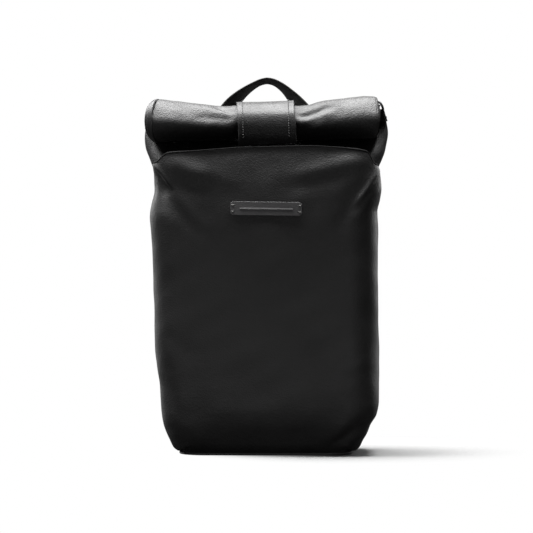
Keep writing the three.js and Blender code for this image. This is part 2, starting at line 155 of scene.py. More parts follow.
def bevelled(name, bm, material, width, angle):
    """A flat-shaded object from the bmesh, with its edges softened where they turn by more than the angle."""
    bmesh.ops.recalc_face_normals(bm, faces=bm.faces)
    mesh = bpy.data.meshes.new(name)
    bm.to_mesh(mesh)
    bm.free()
    mesh.materials.append(material)
    obj = link_object(name, mesh)
    bevel = obj.modifiers.new("soft_edges", "BEVEL")
    bevel.width = width * MM
    bevel.segments = 2
    bevel.limit_method = "ANGLE"
    bevel.angle_limit = math.radians(angle)
    apply_modifiers(obj)
    return obj


def bridge(bm, first, second):
    """Faces between two closed loops of bmesh points."""
    for i in range(len(first)):
        j = (i + 1) % len(first)
        bm.faces.new([first[i], first[j], second[j], second[i]])


def attach(obj, body, slot, *nodes):
    """The piece rides on the body and stands for the CAD nodes; the material slot is not used."""
    if nodes:
        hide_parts(*nodes)
    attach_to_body(obj, body)


def attach_across(obj, body, other, slot, start, end, *nodes):
    """For a piece that should follow body before start and other after end, both in millimetres: it only
    hides the CAD nodes and bakes the piece's place into its mesh. body, other and slot are not used.
    """
    if nodes:
        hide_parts(*nodes)
    metres(start)
    metres(end)
    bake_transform(obj)


def grid_faces(rows, columns, start=0, loop=False, flip=False):
    faces = []
    last = columns if loop else columns - 1
    for v in range(rows - 1):
        for u in range(last):
            w = (u + 1) % columns
            q = [start + v * columns + u, start + v * columns + w,
                 start + (v + 1) * columns + w, start + (v + 1) * columns + u]
            faces.append(q[::-1] if flip else q)
    return faces


def shell_mesh(outer, inner, loop=False):
    """A closed body between two grids of points: (points, faces)."""
    rows, columns = outer.shape[:2]
    n = rows * columns
    faces = grid_faces(rows, columns, 0, loop) + grid_faces(rows, columns, n, loop, flip=True)
    last = columns if loop else columns - 1
    for u in range(last):
        w = (u + 1) % columns
        top = (rows - 1) * columns
        faces.append([w, u, n + u, n + w])
        faces.append([top + u, top + w, n + top + w, n + top + u])
    if not loop:
        for v in range(rows - 1):
            a, b = v * columns, (v + 1) * columns
            faces.append([a, b, n + b, n + a])
            a, b = a + columns - 1, b + columns - 1
            faces.append([b, a, n + a, n + b])
    return np.concatenate([outer.reshape(-1, 3), inner.reshape(-1, 3)]), faces


def sheet(name, p, thickness, material, loop=False, inward=1.0):
    """A skin of even thickness behind the grid p."""
    normal = grid_normals(p, loop) * inward
    points, faces = shell_mesh(p, p - normal * thickness, loop)
    return to_object(name, points, faces, material)


def apply_modifiers(obj):
    bpy.context.view_layer.update()
    graph = bpy.context.evaluated_depsgraph_get()
    mesh = bpy.data.meshes.new_from_object(obj.evaluated_get(graph))
    old = obj.data
    obj.modifiers.clear()
    obj.data = mesh
    bpy.data.meshes.remove(old)


def get_points(obj):
    """The object's points in millimetres."""
    return np.array([v.co[:] for v in obj.data.vertices]) / MM


def set_points(obj, p):
    obj.data.vertices.foreach_set("co", (p * MM).ravel())
    obj.data.update()


def joined(name, parts, material):
    """One object from a list of (points, faces)."""
    points, faces, n = [], [], 0
    for p, f in parts:
        points.append(np.asarray(p, float))
        faces += [[i + n for i in face] for face in f]
        n += len(p)
    return to_object(name, np.concatenate(points), faces, material)


def loft(rings):
    """(points, faces) of a closed body through a row of rings, each with the same number of points."""
    points = np.concatenate([np.array(ring) for ring in rings])
    sides = len(rings[0])
    last = len(points) - sides
    faces = grid_faces(len(rings), sides, 0, loop=True)
    return points, faces + [list(range(sides))[::-1], [last + k for k in range(sides)]]


def tube(centres, radius, sides=8, loop=False, squash=1.0, up=(0, 0, 1)):
    """(points, faces) of a round tube, its ends closed with a rounded cap."""
    c = np.asarray(centres, float)
    if loop:
        along = unit(np.roll(c, -1, axis=0) - np.roll(c, 1, axis=0))
    else:
        along = unit(np.gradient(c, axis=0))
    up = np.asarray(up, float)
    a = unit(np.cross(along, up))
    b = np.cross(a, along)
    rings, sizes = [], [radius] * len(c)
    if not loop:
        reach = radius * 0.6
        c = np.concatenate([c[:1] - along[:1] * reach, c[:1], c, c[-1:], c[-1:] + along[-1:] * reach])
        a = np.concatenate([a[:1], a[:1], a, a[-1:], a[-1:]])
        b = np.concatenate([b[:1], b[:1], b, b[-1:], b[-1:]])
        sizes = [radius * 0.45, radius * 0.9] + sizes + [radius * 0.9, radius * 0.45]
    for i in range(len(c)):
        turn = np.arange(sides) * 2 * math.pi / sides
        rings.append(c[i] + sizes[i] * (np.cos(turn)[:, None] * a[i] + squash * np.sin(turn)[:, None] * b[i]))
    if not loop:
        return loft(rings)
    points = np.concatenate(rings)
    faces = grid_faces(len(rings) + 1, sides, 0, loop=True)
    return points, [[i % len(points) for i in face] for face in faces]


def run_length(path):
    """Distance of each point of the path from its start, measured along it."""
    return np.concatenate([[0], np.cumsum(np.linalg.norm(np.diff(path, axis=0), axis=1))])


def read_off(at, places, p):
    """The rows of p, which belong to the places, read off in between at the values at."""
    return np.stack([np.interp(at, places, p[:, k]) for k in range(3)], axis=1)


def resample(path, step):
    """Points at an even step along the path, and their distances from its start."""
    path = np.asarray(path, float)
    length = run_length(path)
    n = max(2, int(round(length[-1] / step)) + 1)
    at = np.linspace(0, length[-1], n)
    return read_off(at, length, path), at


def stitches(path, outward, stitch, gap, radius, rise):
    """(points, faces) of each stitch along path, arched along outward: one direction, or one per point."""
    dense, at = resample(path, 0.4)
    outward = np.asarray(outward, float)
    way = resample(outward, 0.4)[0] if len(outward) > 1 else np.repeat(outward, 2, axis=0)
    arch = np.sin(np.linspace(0, math.pi, 5))[:, None]
    parts = []
    start = 0.0
    while start + stitch <= at[-1] + 1e-6:
        t = np.linspace(start, start + stitch, 5)
        out = unit(read_off(t / at[-1] * (len(way) - 1), np.arange(len(way)), way))
        c = read_off(t, at, dense) + out * rise * arch + out * radius * 0.3
        parts.append(tube(c, radius, sides=6, up=out[2]))
        start += stitch + gap
    return parts


# ------------------------------------------------------------------ materials
class Nodes:
    """A short way to build a material's node tree."""

    def __init__(self, name, slot_colour):
        self.material = bpy.data.materials.new(name)
        self.material.use_nodes = True
        self.material.diffuse_color = (*slot_colour, 1)
        self.tree = self.material.node_tree
        self.tree.nodes.clear()
        self.out = self.tree.nodes.new("ShaderNodeOutputMaterial")
        self.shader = self.node("ShaderNodeBsdfPrincipled")
        self.link(self.shader.outputs[0], self.out.inputs[0])
        self.coordinates = self.node("ShaderNodeTexCoord").outputs["Object"]

    def node(self, kind, **settings):
        n = self.tree.nodes.new(kind)
        for k, v in settings.items():
            setattr(n, k, v)
        return n

    def link(self, a, b):
        self.tree.links.new(a, b)

    def put(self, value, socket):
        if isinstance(value, bpy.types.NodeSocket):
            self.link(value, socket)
        else:
            socket.default_value = value

    def math(self, operation, a, b=0.0):
        n = self.node("ShaderNodeMath", operation=operation)
        self.put(a, n.inputs[0])
        self.put(b, n.inputs[1])
        return n.outputs[0]

    def add(self, a, b):
        return self.math("ADD", a, b)

    def times(self, a, b):
        return self.math("MULTIPLY", a, b)

    def vector_math(self, operation, a, b=None):
        n = self.node("ShaderNodeVectorMath", operation=operation)
        self.link(a, n.inputs[0])
        if b is not None:
            self.put(b, n.inputs["Scale" if operation == "SCALE" else 1])
        return n.outputs["Value" if operation == "LENGTH" else "Vector"]

    def split(self, vector):
        n = self.node("ShaderNodeSeparateXYZ")
        self.link(vector, n.inputs[0])
        return n.outputs[:3]

    def noise(self, scale, detail=2.0, roughness=0.5, output="Fac"):
        n = self.node("ShaderNodeTexNoise")
        n.inputs["Scale"].default_value = scale
        n.inputs["Detail"].default_value = detail
        n.inputs["Roughness"].default_value = roughness
        self.link(self.coordinates, n.inputs["Vector"])
        return n.outputs[output]

    def cells(self, scale, vector):
        n = self.node("ShaderNodeTexVoronoi")
        n.inputs["Scale"].default_value = scale
        self.link(vector, n.inputs["Vector"])
        return n.outputs["Distance"]

    def ramp(self, value, low, high, a=0.0, b=1.0):
        """A soft step from a, where value is low, to b, where it is high."""
        n = self.node("ShaderNodeMapRange", interpolation_type="SMOOTHSTEP")
        self.put(value, n.inputs["Value"])
        for name, v in (("From Min", low), ("From Max", high), ("To Min", a), ("To Max", b)):
            n.inputs[name].default_value = v
        return n.outputs["Result"]

    def spread(self, noise, a=0.0, b=1.0):
        """Noise, which lies mostly between 0.3 and 0.7, spread out to run from a to b."""
        return self.ramp(noise, 0.3, 0.7, a, b)

    def mix(self, factor, a, b):
        n = self.node("ShaderNodeMix", data_type="RGBA")
        self.put(factor, n.inputs["Factor"])
        self.put((*a, 1) if isinstance(a, tuple) else a, n.inputs["A"])
        self.put((*b, 1) if isinstance(b, tuple) else b, n.inputs["B"])
        return n.outputs["Result"]

    def mix_shaders(self, factor, a, b):
        n = self.node("ShaderNodeMixShader")
        self.link(factor, n.inputs[0])
        self.link(a, n.inputs[1])
        self.link(b, n.inputs[2])
        return n.outputs[0]

    def bump(self, height, distance, strength=1.0, after=None):
        n = self.node("ShaderNodeBump")
        n.inputs["Strength"].default_value = strength
        n.inputs["Distance"].default_value = distance
        self.link(height, n.inputs["Height"])
        if after is not None:
            self.link(after, n.inputs["Normal"])
        return n.outputs["Normal"]

    def finish(self, colour, roughness, normal=None, **extra):
        self.put(colour if not isinstance(colour, tuple) else (*colour, 1), self.shader.inputs["Base Color"])
        self.put(roughness, self.shader.inputs["Roughness"])
        if normal is not None:
            self.link(normal, self.shader.inputs["Normal"])
        for name, v in extra.items():
            self.shader.inputs[name.replace("_", " ")].default_value = v
        return self.material

    def wear(self, low=0.515, high=0.56):
        """1 on convex edges, where the surface rubs, and 0 elsewhere."""
        geometry = self.node("ShaderNodeNewGeometry")
        return self.ramp(geometry.outputs["Pointiness"], low, high)


def shaded(colour, factor, add=0.0):
    return tuple(min(1, c * factor + add) for c in colour)


def leather(name, colour=(0.0145, 0.0142, 0.0144), roughness=0.5, grain=1.0, wear=1.0, shine=0.42):
    """Coated leather: bent pebbles and fine grain, mottled, and paler where its edges rub."""
    m = Nodes(name, colour)
    bend = m.vector_math("SCALE", m.noise(260, output="Color"), 0.0012)
    pebbles = m.cells(560, m.vector_math("ADD", m.coordinates, bend))
    fine = m.noise(2600)
    mottle = m.noise(34, 4, 0.6)
    broad = m.noise(7)
    worn = m.times(m.wear(), 0.35 * wear)
    shade = m.add(m.spread(mottle, 0.0, 0.6), m.ramp(broad, 0.35, 0.65, 0.0, 0.4))
    base = m.mix(shade, shaded(colour, 0.82), shaded(colour, 1.18))
    base = m.mix(worn, base, shaded(colour, 3.2, 0.01))
    rough = m.add(m.spread(mottle, roughness - 0.04, roughness + 0.05), m.spread(fine, -0.03, 0.03))
    normal = m.bump(m.noise(150, 4, 0.55), 0.0009, 0.35)
    normal = m.bump(pebbles, 0.00045 * grain, 0.6, normal)
    normal = m.bump(fine, 0.00007 * grain, 0.5, normal)
    return m.finish(base, rough, normal,
                    Specular_IOR_Level=shine, Sheen_Weight=0.14 * shine, Sheen_Roughness=0.45)


def webbing(name, rib=1.7, bands=5.0):
    """Ribbed webbing. The mesh's pattern attribute holds (across 0..1, along in mm, 0)."""
    colour = (0.0135, 0.0122, 0.0108)
    m = Nodes(name, colour)
    pattern = m.node("ShaderNodeAttribute", attribute_name="pattern")
    across, along, _ = m.split(pattern.outputs["Vector"])
    pairs = m.math("SINE", m.times(across, bands * 2 * math.pi))
    shift = m.times(m.ramp(pairs, -0.2, 0.2), math.pi)
    ribs = m.math("SINE", m.add(m.times(along, 2 * math.pi / rib), shift))
    height = m.add(m.times(ribs, 0.5), m.times(pairs, 0.35))
    fibre = m.noise(3200, 2)
    height = m.add(height, m.times(fibre, 0.6))
    # Painted shade and light: the colour darkens in the grooves between the ribs and lightens on their tops.
    shade = m.ramp(m.add(ribs, pairs), -1.6, 1.6)
    base = m.mix(shade, shaded(colour, 0.6), shaded(colour, 1.5))
    rough = m.spread(fibre, 0.62, 0.8)
    normal = m.bump(height, 0.0003, 0.7)
    return m.finish(base, rough, normal, Specular_IOR_Level=0.35, Sheen_Weight=0.15, Sheen_Roughness=0.5)


def woven(name, colour):
    """Plain weave seen along Y: threads cross in X and Z."""
    pitch = 0.9
    m = Nodes(name, colour)
    x, y, z = m.split(m.coordinates)
    k = 2 * math.pi / (pitch * MM)
    warp = m.math("SINE", m.times(m.add(x, y), k))
    weft = m.math("SINE", m.times(z, k))
    height = m.times(warp, weft)
    fibre = m.noise(1800, 3)
    # Partly painted shade: the colour darkens in the weave's hollows; the fibres vary it at random.
    shade = m.add(m.ramp(height, -1, 1, 0, 0.6), m.spread(fibre, 0, 0.4))
    base = m.mix(shade, shaded(colour, 0.65), shaded(colour, 1.4))
    rough = m.spread(fibre, 0.74, 0.86)
    normal = m.bump(height, 0.00018, 0.6)
    return m.finish(base, rough, normal, Specular_IOR_Level=0.3, Sheen_Weight=0.2, Sheen_Roughness=0.5)


def spacer_mesh(name):
    """Open-cell spacer fabric: rows of small round holes, staggered."""
    colour, pitch = (0.0125, 0.0125, 0.013), 2.9
    m = Nodes(name, colour)
    x, _, z = m.split(m.coordinates)
    k = 2 * math.pi / (pitch * MM)
    x = m.times(x, k)
    z = m.times(z, k * 0.5773)
    first = m.add(m.math("COSINE", m.add(x, z)), m.math("COSINE", m.math("SUBTRACT", x, z)))
    lattice = m.add(first, m.math("COSINE", m.times(z, 2.0)))
    hole = m.ramp(lattice, 0.7, 2.0)
    fibre = m.noise(2400, 3)
    threads = m.mix(m.spread(fibre), shaded(colour, 0.75), shaded(colour, 1.7))
    # The holes are painted nearly black: painted shade inside them.
    base = m.mix(hole, threads, shaded(colour, 0.2))
    height = m.math("SUBTRACT", m.times(fibre, 0.25), hole)
    normal = m.bump(height, 0.0006, 0.8)
    return m.finish(base, 0.82, normal, Specular_IOR_Level=0.25, Sheen_Weight=0.25, Sheen_Roughness=0.5)


def moulded(name, colour=(0.011, 0.011, 0.0115), roughness=0.42, depth=0.00005, metallic=0.0):
    """Smooth plastic or plated metal, a little lighter where it is worn."""
    m = Nodes(name, colour)
    grit = m.noise(1500, 2)
    wide = m.noise(60, 3)
    worn = m.times(m.wear(0.52, 0.6), 0.4)
    base = m.mix(m.spread(wide), shaded(colour, 0.85), shaded(colour, 1.15))
    base = m.mix(worn, base, shaded(colour, 3, 0.02))
    rough = m.add(m.spread(wide, roughness - 0.05, roughness + 0.05), m.spread(grit, -0.03, 0.03))
    normal = m.bump(grit, depth, 0.5)
    return m.finish(base, rough, normal, Metallic=metallic)


def thread(name, colour):
    """Twisted sewing thread."""
    m = Nodes(name, colour)
    twist = m.noise(2800, 2)
    base = m.mix(m.spread(twist), shaded(colour, 0.7), shaded(colour, 1.25))
    return m.finish(base, 0.6, m.bump(twist, 0.0002, 0.6), Specular_IOR_Level=0.4)


BODY_LEATHER = leather("body_leather", wear=0.12)
ROLL_LEATHER = leather("roll_leather", grain=1.15, wear=0.3)
# Near-black and barely shiny: painted shade, the roll's shadow over the crest and in the gap under it.
PLY_SHADE_LEATHER = leather("ply_painted_shade_leather", colour=(0.006, 0.0059, 0.006), roughness=0.7, wear=0.0, shine=0.05)
STRAP_LEATHER = leather("strap_leather", colour=(0.016, 0.0157, 0.0159), wear=0.5)
EDGE_LEATHER = leather("edge_leather", colour=(0.024, 0.0235, 0.024), roughness=0.48, grain=0.6)
COLLAR_LEATHER = leather("collar_leather", colour=(0.012, 0.0118, 0.012), roughness=0.6, wear=0.0)
PLATE_LEATHER = leather("plate_leather", colour=(0.085, 0.083, 0.085), grain=0.35, wear=0.1)
WEB = webbing("webbing")
WEB_FINE = webbing("webbing_fine", rib=1.2, bands=3.0)
MESH_FABRIC = spacer_mesh("spacer_mesh")
LINING = woven("lining_weave", (0.02, 0.021, 0.024))
BOARD = moulded("board", (0.035, 0.035, 0.038), 0.6, 0.0001)
PLASTIC = moulded("black_plastic")
DARK_METAL = moulded("dark_metal", (0.02, 0.02, 0.021), 0.45, 0.00003, 0.6)
MAGNET = moulded("magnet_nickel", (0.45, 0.45, 0.47), 0.25, 0.00002, 1.0)
COIL = moulded("zip_coil", (0.012, 0.012, 0.012), 0.5)
THREAD_GREY = thread("thread_grey", (0.085, 0.084, 0.083))
THREAD_BLACK = thread("thread_black", (0.02, 0.02, 0.02))
THREAD_LIGHT = thread("thread_light", (0.2, 0.197, 0.19))


# ------------------------------------------------------------------ the body's shape
# From the base up: the front's depth (y), each side's reach (x) and the radius of the front's corners.
PROFILE_Z = [3.0, 8, 16, 28, 44, 70, 120, 200, 260, 300, 325, 345, 360, 375, 385, 393]
PROFILE_Y = [-57, -61.5, -67.5, -73, -76, -77.3, -76, -73.2,
             -71.9, -70.9, -69.6, -67.6, -65.4, -62.3, -59.9, -58.1]
LEFT_Z = [3.0, 8, 20, 44, 65, 94, 137, 210, 254, 286, 301, 318, 336, 356, 372, 394]
LEFT_X = [109, 116.5, 122, 131, 132.6, 135, 139, 141.4, 143, 144.6, 145.6, 143.4, 140.4, 142, 142.5, 141.5]
RIGHT_Z = [3.0, 8, 20, 38, 53, 66, 90, 137, 210, 254, 291, 308, 325, 339, 352, 364, 394]
RIGHT_X = [110, 119, 125, 133, 141, 143, 143.2, 143, 142.3,
           142.2, 141.6, 141.2, 144.8, 146.6, 146, 143.4, 141.5]
CORNER_Z = [3.0, 30, 200, 330, 365, 394]
CORNER_R = [33, 38, 38, 36, 31, 27]
FRONT_SHARE, ARC_SHARE = 0.5, 0.72      # where the outline's straight front and its corner arc end
HEM = 5.0                               # height of the upright strip under the crest


def body_outline(s, z):
    """Points of the body's outline. s runs from -1 (rear left) through 0 (front middle) to 1 (rear right)."""
    side = np.where(s < 0, -1.0, 1.0)
    q = np.abs(s)
    a = np.where(s < 0, spline(z, LEFT_Z, LEFT_X), spline(z, RIGHT_Z, RIGHT_X))
    f = spline(z, PROFILE_Z, PROFILE_Y)
    r = spline(z, CORNER_Z, CORNER_R)
    tuck = smooth(62, 8, z) * (1 - smooth(40, 108, np.abs(q / FRONT_SHARE * (a - r))))
    f = f + 5.0 * tuck * smooth(3, 30, z)
    crown = 3.0 * smooth(380, 330, z)
    along = np.clip(q / FRONT_SHARE, 0, 1)
    x = (a - r) * along
    y = f + crown * (1 - np.cos(math.pi * along)) / 2
    turn = np.clip((q - FRONT_SHARE) / (ARC_SHARE - FRONT_SHARE), 0, 1) * math.pi / 2
    on_arc = q > FRONT_SHARE
    x = np.where(on_arc, a - r + r * np.sin(turn), x)
    y = np.where(on_arc, f + crown + r - r * np.cos(turn), y)
    back = np.clip((q - ARC_SHARE) / (1 - ARC_SHARE), 0, 1)
    on_side = q > ARC_SHARE
    swell = 2.5 * (1 - np.cos(2 * math.pi * back)) / 2 * smooth(3, 60, z) * smooth(394, 340, z)
    x = np.where(on_side, a + swell - 3.0 * smooth(0.6, 1.0, back), x)
    y = np.where(on_side, f + crown + r + (BACK_SEAM_Y - f - crown - r) * back, y)
    return np.stack([side * x, y, z], axis=-1)


# The crest: (share of the outline from the front's middle, height).
CREST_LEFT = [(0, 391.5), (0.146, 390.5), (0.23, 389), (0.37, 386.5), (0.47, 384.7), (0.55, 383),
              (0.60, 377.5), (0.63, 373), (0.68, 371), (ARC_SHARE, 370), (0.85, 370), (0.94, 379), (1.0, 391)]
CREST_RIGHT = [(0, 391.5), (0.23, 392.6), (0.40, 390.6), (0.49, 388.4), (0.54, 386.8), (0.58, 385.1),
               (0.60, 380), (0.625, 373.5), (0.65, 370), (ARC_SHARE, 368), (0.85, 369), (0.94, 378),
               (1.0, 391)]


def crest_height(s):
    """Height of the shell's top edge along the outline: it drops where the front's corners fold over."""
    left, right = np.array(CREST_LEFT), np.array(CREST_RIGHT)
    q = np.abs(s)
    return np.where(s < 0, spline(q, left[:, 0], left[:, 1]), spline(q, right[:, 0], right[:, 1]))


def ridge(x, z, start, end, width, height, ends=0.25):
    """A soft fold's height at (x, z): it runs from start to end and fades out over the share ends."""
    (x0, z0), (x1, z1) = start, end
    dx, dz = x1 - x0, z1 - z0
    length2 = dx * dx + dz * dz
    t = ((x - x0) * dx + (z - z0) * dz) / length2
    off = ((x - x0) * dz - (z - z0) * dx) / math.sqrt(length2)
    fade = smooth(-ends, ends, t) * smooth(1 + ends, 1 - ends, t)
    return height * np.exp(-(off / width) ** 2) * fade


# Folds of the front, as (start, end, half width, height): x and z on the front, outward positive.
FRONT_FOLDS = [
    ((-141, 371), (-121, 343), 3.0, 2.6),
    ((-139, 358), (-122, 335), 6.5, -2.6),
    ((-139, 350), (-84, 284), 9.0, -2.4),
    ((-122, 336), (-82, 292), 9.0, 1.8),
    ((-144, 318), (-112, 290), 10.0, 1.0),
    ((-120, 374), (-76, 352), 12.0, 2.6),
    ((-90, 362), (-34, 346), 12.0, 1.3),
    ((-118, 350), (-52, 322), 11.0, -0.8),
    ((-70, 330), (-30, 308), 12.0, 0.6),
    ((40, 355), (122, 375), 11.0, 2.6),
    ((28, 342), (104, 356), 12.0, -0.7),
    ((34, 326), (100, 342), 11.0, 0.7),
    ((144, 363), (115, 321), 3.2, 2.6),
    ((124, 352), (92, 290), 9.0, -2.0),
    ((106, 352), (70, 308), 13.0, 1.0),
    ((146, 342), (106, 296), 7.5, 1.8),
    ((120, 322), (104, 292), 8.0, -1.2),
    ((84, 14), (128, 44), 6.0, -3.0),
    ((96, 8), (130, 32), 5.0, 1.6),
    ((-131, 96), (-116, 56), 9.0, -1.5),
    ((-126, 156), (-92, 128), 12.0, -1.0),
    ((96, 108), (130, 122), 9.0, 0.8),
    ((-120, 30), (-96, 14), 7.0, 1.2),
]
DARTS = [((-97, 11), (-111, 2)), ((102, 10), (115, 1))]


def front_relief(p, normal):
    """How far the folds and the darts move the leather outward, on the faces that look forward."""
    x, z = p[..., 0], p[..., 2]
    facing = smooth(0.35, -0.25, normal[..., 1])
    total = sum(ridge(x, z, start, end, width, height) for start, end, width, height in FRONT_FOLDS)
    for start, end in DARTS:
        total += ridge(x, z, start, end, 1.7, -3.4, 0.15)
        above = ((start[0], start[1] + 4), (end[0], end[1] + 4))
        total += ridge(x, z, above[0], above[1], 2.6, 1.4, 0.15)
    return total * facing


# Where the crest's inner ply meets the collar, along the outline.
MOUTH_S = [0, 0.25, 0.4, 0.5, 0.58, 0.66, ARC_SHARE, 0.80, 0.86, 1.0]
MOUTH_X = [0, 56, 90, 112, 125, 134, 139, 143, 143, 143]
MOUTH_Y = [15, 15, 14, 8, 0, -3, 3, 10, 20, 50]
MOUTH_Z = [383, 383, 382, 378, 372, 368.5, 367, 367, 367, 367]


def mouth_line(s):
    """Points of that line at the places s along the outline."""
    q = np.abs(s)
    x = np.sign(s) * spline(q, MOUTH_S, MOUTH_X)
    return np.stack([x, spline(q, MOUTH_S, MOUTH_Y), spline(q, MOUTH_S, MOUTH_Z)], axis=1)


def body_shell():
    """The wrapped front and sides: the grid of points, and the crest's place, directions and fold radius."""
    columns, rows, curl_rows = 331, 250, 9
    s = np.linspace(-1, 1, columns)
    w = np.linspace(0, 1, rows)
    rise = 1 - (1 - w) ** 1.35
    top = crest_height(s)
    z = PROFILE_Z[0] + (top[None, :] - PROFILE_Z[0]) * rise[:, None]
    p = body_outline(np.broadcast_to(s, z.shape), z)
    normal = grid_normals(p)
    away = np.clip(1 - np.abs(s), 0, 1)[None, :]
    uneven = 0.9 * waves(p, 95, 1) + 0.35 * waves(p, 38, 2)
    side_folds = 1.6 * waves(p * np.array([0.4, 1.0, 0.55]), 60, 4) * smooth(-0.2, 0.4, normal[..., 1])
    calm = smooth(3, 40, z) * smooth(0, 0.06, away)
    # Just under the crest the front stands upright again.
    below = top[None, :] - z
    on_front_only = smooth(FRONT_SHARE + 0.12, FRONT_SHARE, np.abs(s))
    upright = 0.3 * np.log1p(np.exp((HEM - below) / 1.5)) * 1.5 * on_front_only
    p = p + normal * ((front_relief(p, normal) + (uneven + side_folds) * calm + upright)[..., None])
    # The top edge folds over tightly; in the middle of the front it then runs back under the roll.
    normal = grid_normals(p)
    along = unit(p[-1] - p[-3])
    middle = smooth(FRONT_SHARE + 0.06, 0.34, np.abs(s))[:, None]
    radius = 1.6 - 1.15 * middle
    turns = np.linspace(0, math.radians(160), curl_rows)[1:, None, None]
    curl = p[-1] + radius * (along * np.sin(turns) - normal[-1] * (1 - np.cos(turns)))
    inward = np.concatenate([-normal[-1][:, :2], 0 * normal[-1][:, :1]], axis=1)
    p = np.concatenate([p, curl, [curl[-1] + inward * 2.5 - along * 1.5]])
    thickness = np.full((len(p), 1, 1), HIDE)
    thickness[rows - 4:] = 0.35         # pared thin where it folds
    attach(sheet("front_shell_leather", p, thickness, BODY_LEATHER), "bag", "leather", "front_shell")
    return p, (s, p[rows - 1], normal[-1], along, radius)


def mouth_ply(s, crest, normal, along, radius):
    """The matte ply that binds the crest and runs back under the roll; its near-black leather is painted
    shade, the roll's shadow over the crest and in the gap below it.
    """
    centre = crest - radius * normal
    arc = np.linspace(math.radians(-30), math.radians(160), 8)
    ply = [centre + (radius + 0.35) * (normal * math.cos(a) + along * math.sin(a)) for a in arc]
    edge, target = ply[-1], mouth_line(s)
    for share in np.linspace(0, 1, 30)[1:]:
        row = edge + (target - edge) * share
        row[:, 2] -= 4.0 * math.sin(math.pi * share) * (1 - smooth(0.55, 0.7, np.abs(s)))
        ply.append(row)
    ply = np.array(ply)
    front = slice(int(len(s) * 0.09), int(len(s) * 0.91))
    attach(sheet("mouth_ply", ply[:, front], 1.0, PLY_SHADE_LEATHER), "bag", "leather")
    return ply


BODY, CREST = body_shell()
MOUTH_PLY = mouth_ply(*CREST)


# ------------------------------------------------------------------ base
def base():
    """The seam round the base and the bottom, which is flat where it stands and turns up to that seam."""
    seam_z, stand_z, bottom = 2.2, 0.35, 1.8
    s = np.linspace(-1, 1, 241)
    foot = body_outline(s, np.full(s.shape, PROFILE_Z[0]))
    foot[:, 2] = seam_z
    x = np.linspace(foot[-1, 0], foot[0, 0], 60)[1:-1]
    rear = np.stack([x, np.full(58, BACK_SEAM_Y - 0.5), np.full(58, seam_z)], axis=1)
    ring = np.concatenate([foot, rear])
    centre = np.array([0, 2.0, seam_z])
    inward = unit((ring - centre) * np.array([1, 1, 0]))
    cord, faces = tube(ring - inward * 0.6, 1.6, sides=8, loop=True)
    attach(to_object("base_piping_cord", cord, faces, EDGE_LEATHER), "bag", "leather", "base_piping")
    rows = []
    for share, lift in ((0.02, 0), (0.25, 0), (0.5, 0), (0.75, 0), (0.9, 0), (0.955, 0.5), (0.985, 1.7)):
        row = centre + (ring - inward * 1.6 - centre) * share
        row[:, 2] = stand_z + lift
        rows.append(row)
    p = np.array(rows)
    points, faces = shell_mesh(p, p + np.array([0, 0, bottom]), loop=True)
    around = p.shape[1]
    faces.append(list(range(around))[::-1])
    faces.append([len(p) * around + u for u in range(around)])
    attach(to_object("base_panel_leather", points, faces, BODY_LEATHER), "bag", "leather", "base_panel")


base()


# ------------------------------------------------------------------ collar: between the body and the roll
def collar_grid(t):
    """The collar's grid: a smooth ring through upright control lines, whose folded sides stand out."""
    keys = [0, 0.25, 0.5, 0.75, 1.0]

    def at(values):
        return spline(t, keys, values)

    def control(x, y, z):
        return np.stack([at(x), at(y), at(z)], axis=1)

    def half(sign, wing_x, wing_z):
        points = [
            control([60, 60, 60, 60, 60], [2, 17, 31, 41.5, 44.9], [373, 385, 394, 406, 424]),
            control([112, 113, 114, 116, 120], [0, 14, 29, 42, 47.6], [371, 383, 393, 405, 424]),
            control([132, 132, 134, 137, 140.5], [-6, 2, 12, 24, 38], [366, 378, 389, 404, 425]),
            control(wing_x, [10, 14, 19, 24, 28], wing_z),
            control([139, 142, 146, 149, 148], [44, 43, 43, 43, 42], [362, 379, 394, 410, 426]),
            control([133, 134, 135, 137, 139], [60, 59, 57, 53.5, 50.6], [370, 384, 397, 410, 425]),
            control([80, 80, 80, 80, 80], [60.6, 60, 57.5, 51.5, 46.8], [372, 385, 397, 410, 425]),
        ]
        return [p * np.array([sign, 1, 1]) for p in points]

    right = half(1, [141, 147.5, 154, 157, 154.5], [358, 373, 389, 408, 428])
    left = half(-1, [141, 147, 152.5, 154.5, 152.5], [358, 373, 390, 408, 424])
    front = [control([0] * 5, [2, 17, 31, 41.5, 44.6], [373, 385, 394, 406, 424])]
    rear = [control([0] * 5, [60.6, 60, 57.5, 51, 46.4], [372, 385, 397, 410, 425])]
    controls = np.array(front + right + rear + left[::-1])      # control lines, rows, xyz
    n, per = len(controls), 18
    columns = []
    for i in range(n):
        p0, p1, p2, p3 = (controls[(i + k) % n] for k in (-1, 0, 1, 2))
        d1 = np.linalg.norm(p2 - p1, axis=1)[:, None]
        m1 = (p2 - p0) / (np.linalg.norm(p1 - p0, axis=1)[:, None] + d1) * d1
        m2 = (p3 - p1) / (np.linalg.norm(p3 - p2, axis=1)[:, None] + d1) * d1
        columns += [hermite(k / per, 1, p1, p2, m1, m2) for k in range(per)]
    return np.array(columns).transpose(1, 0, 2)


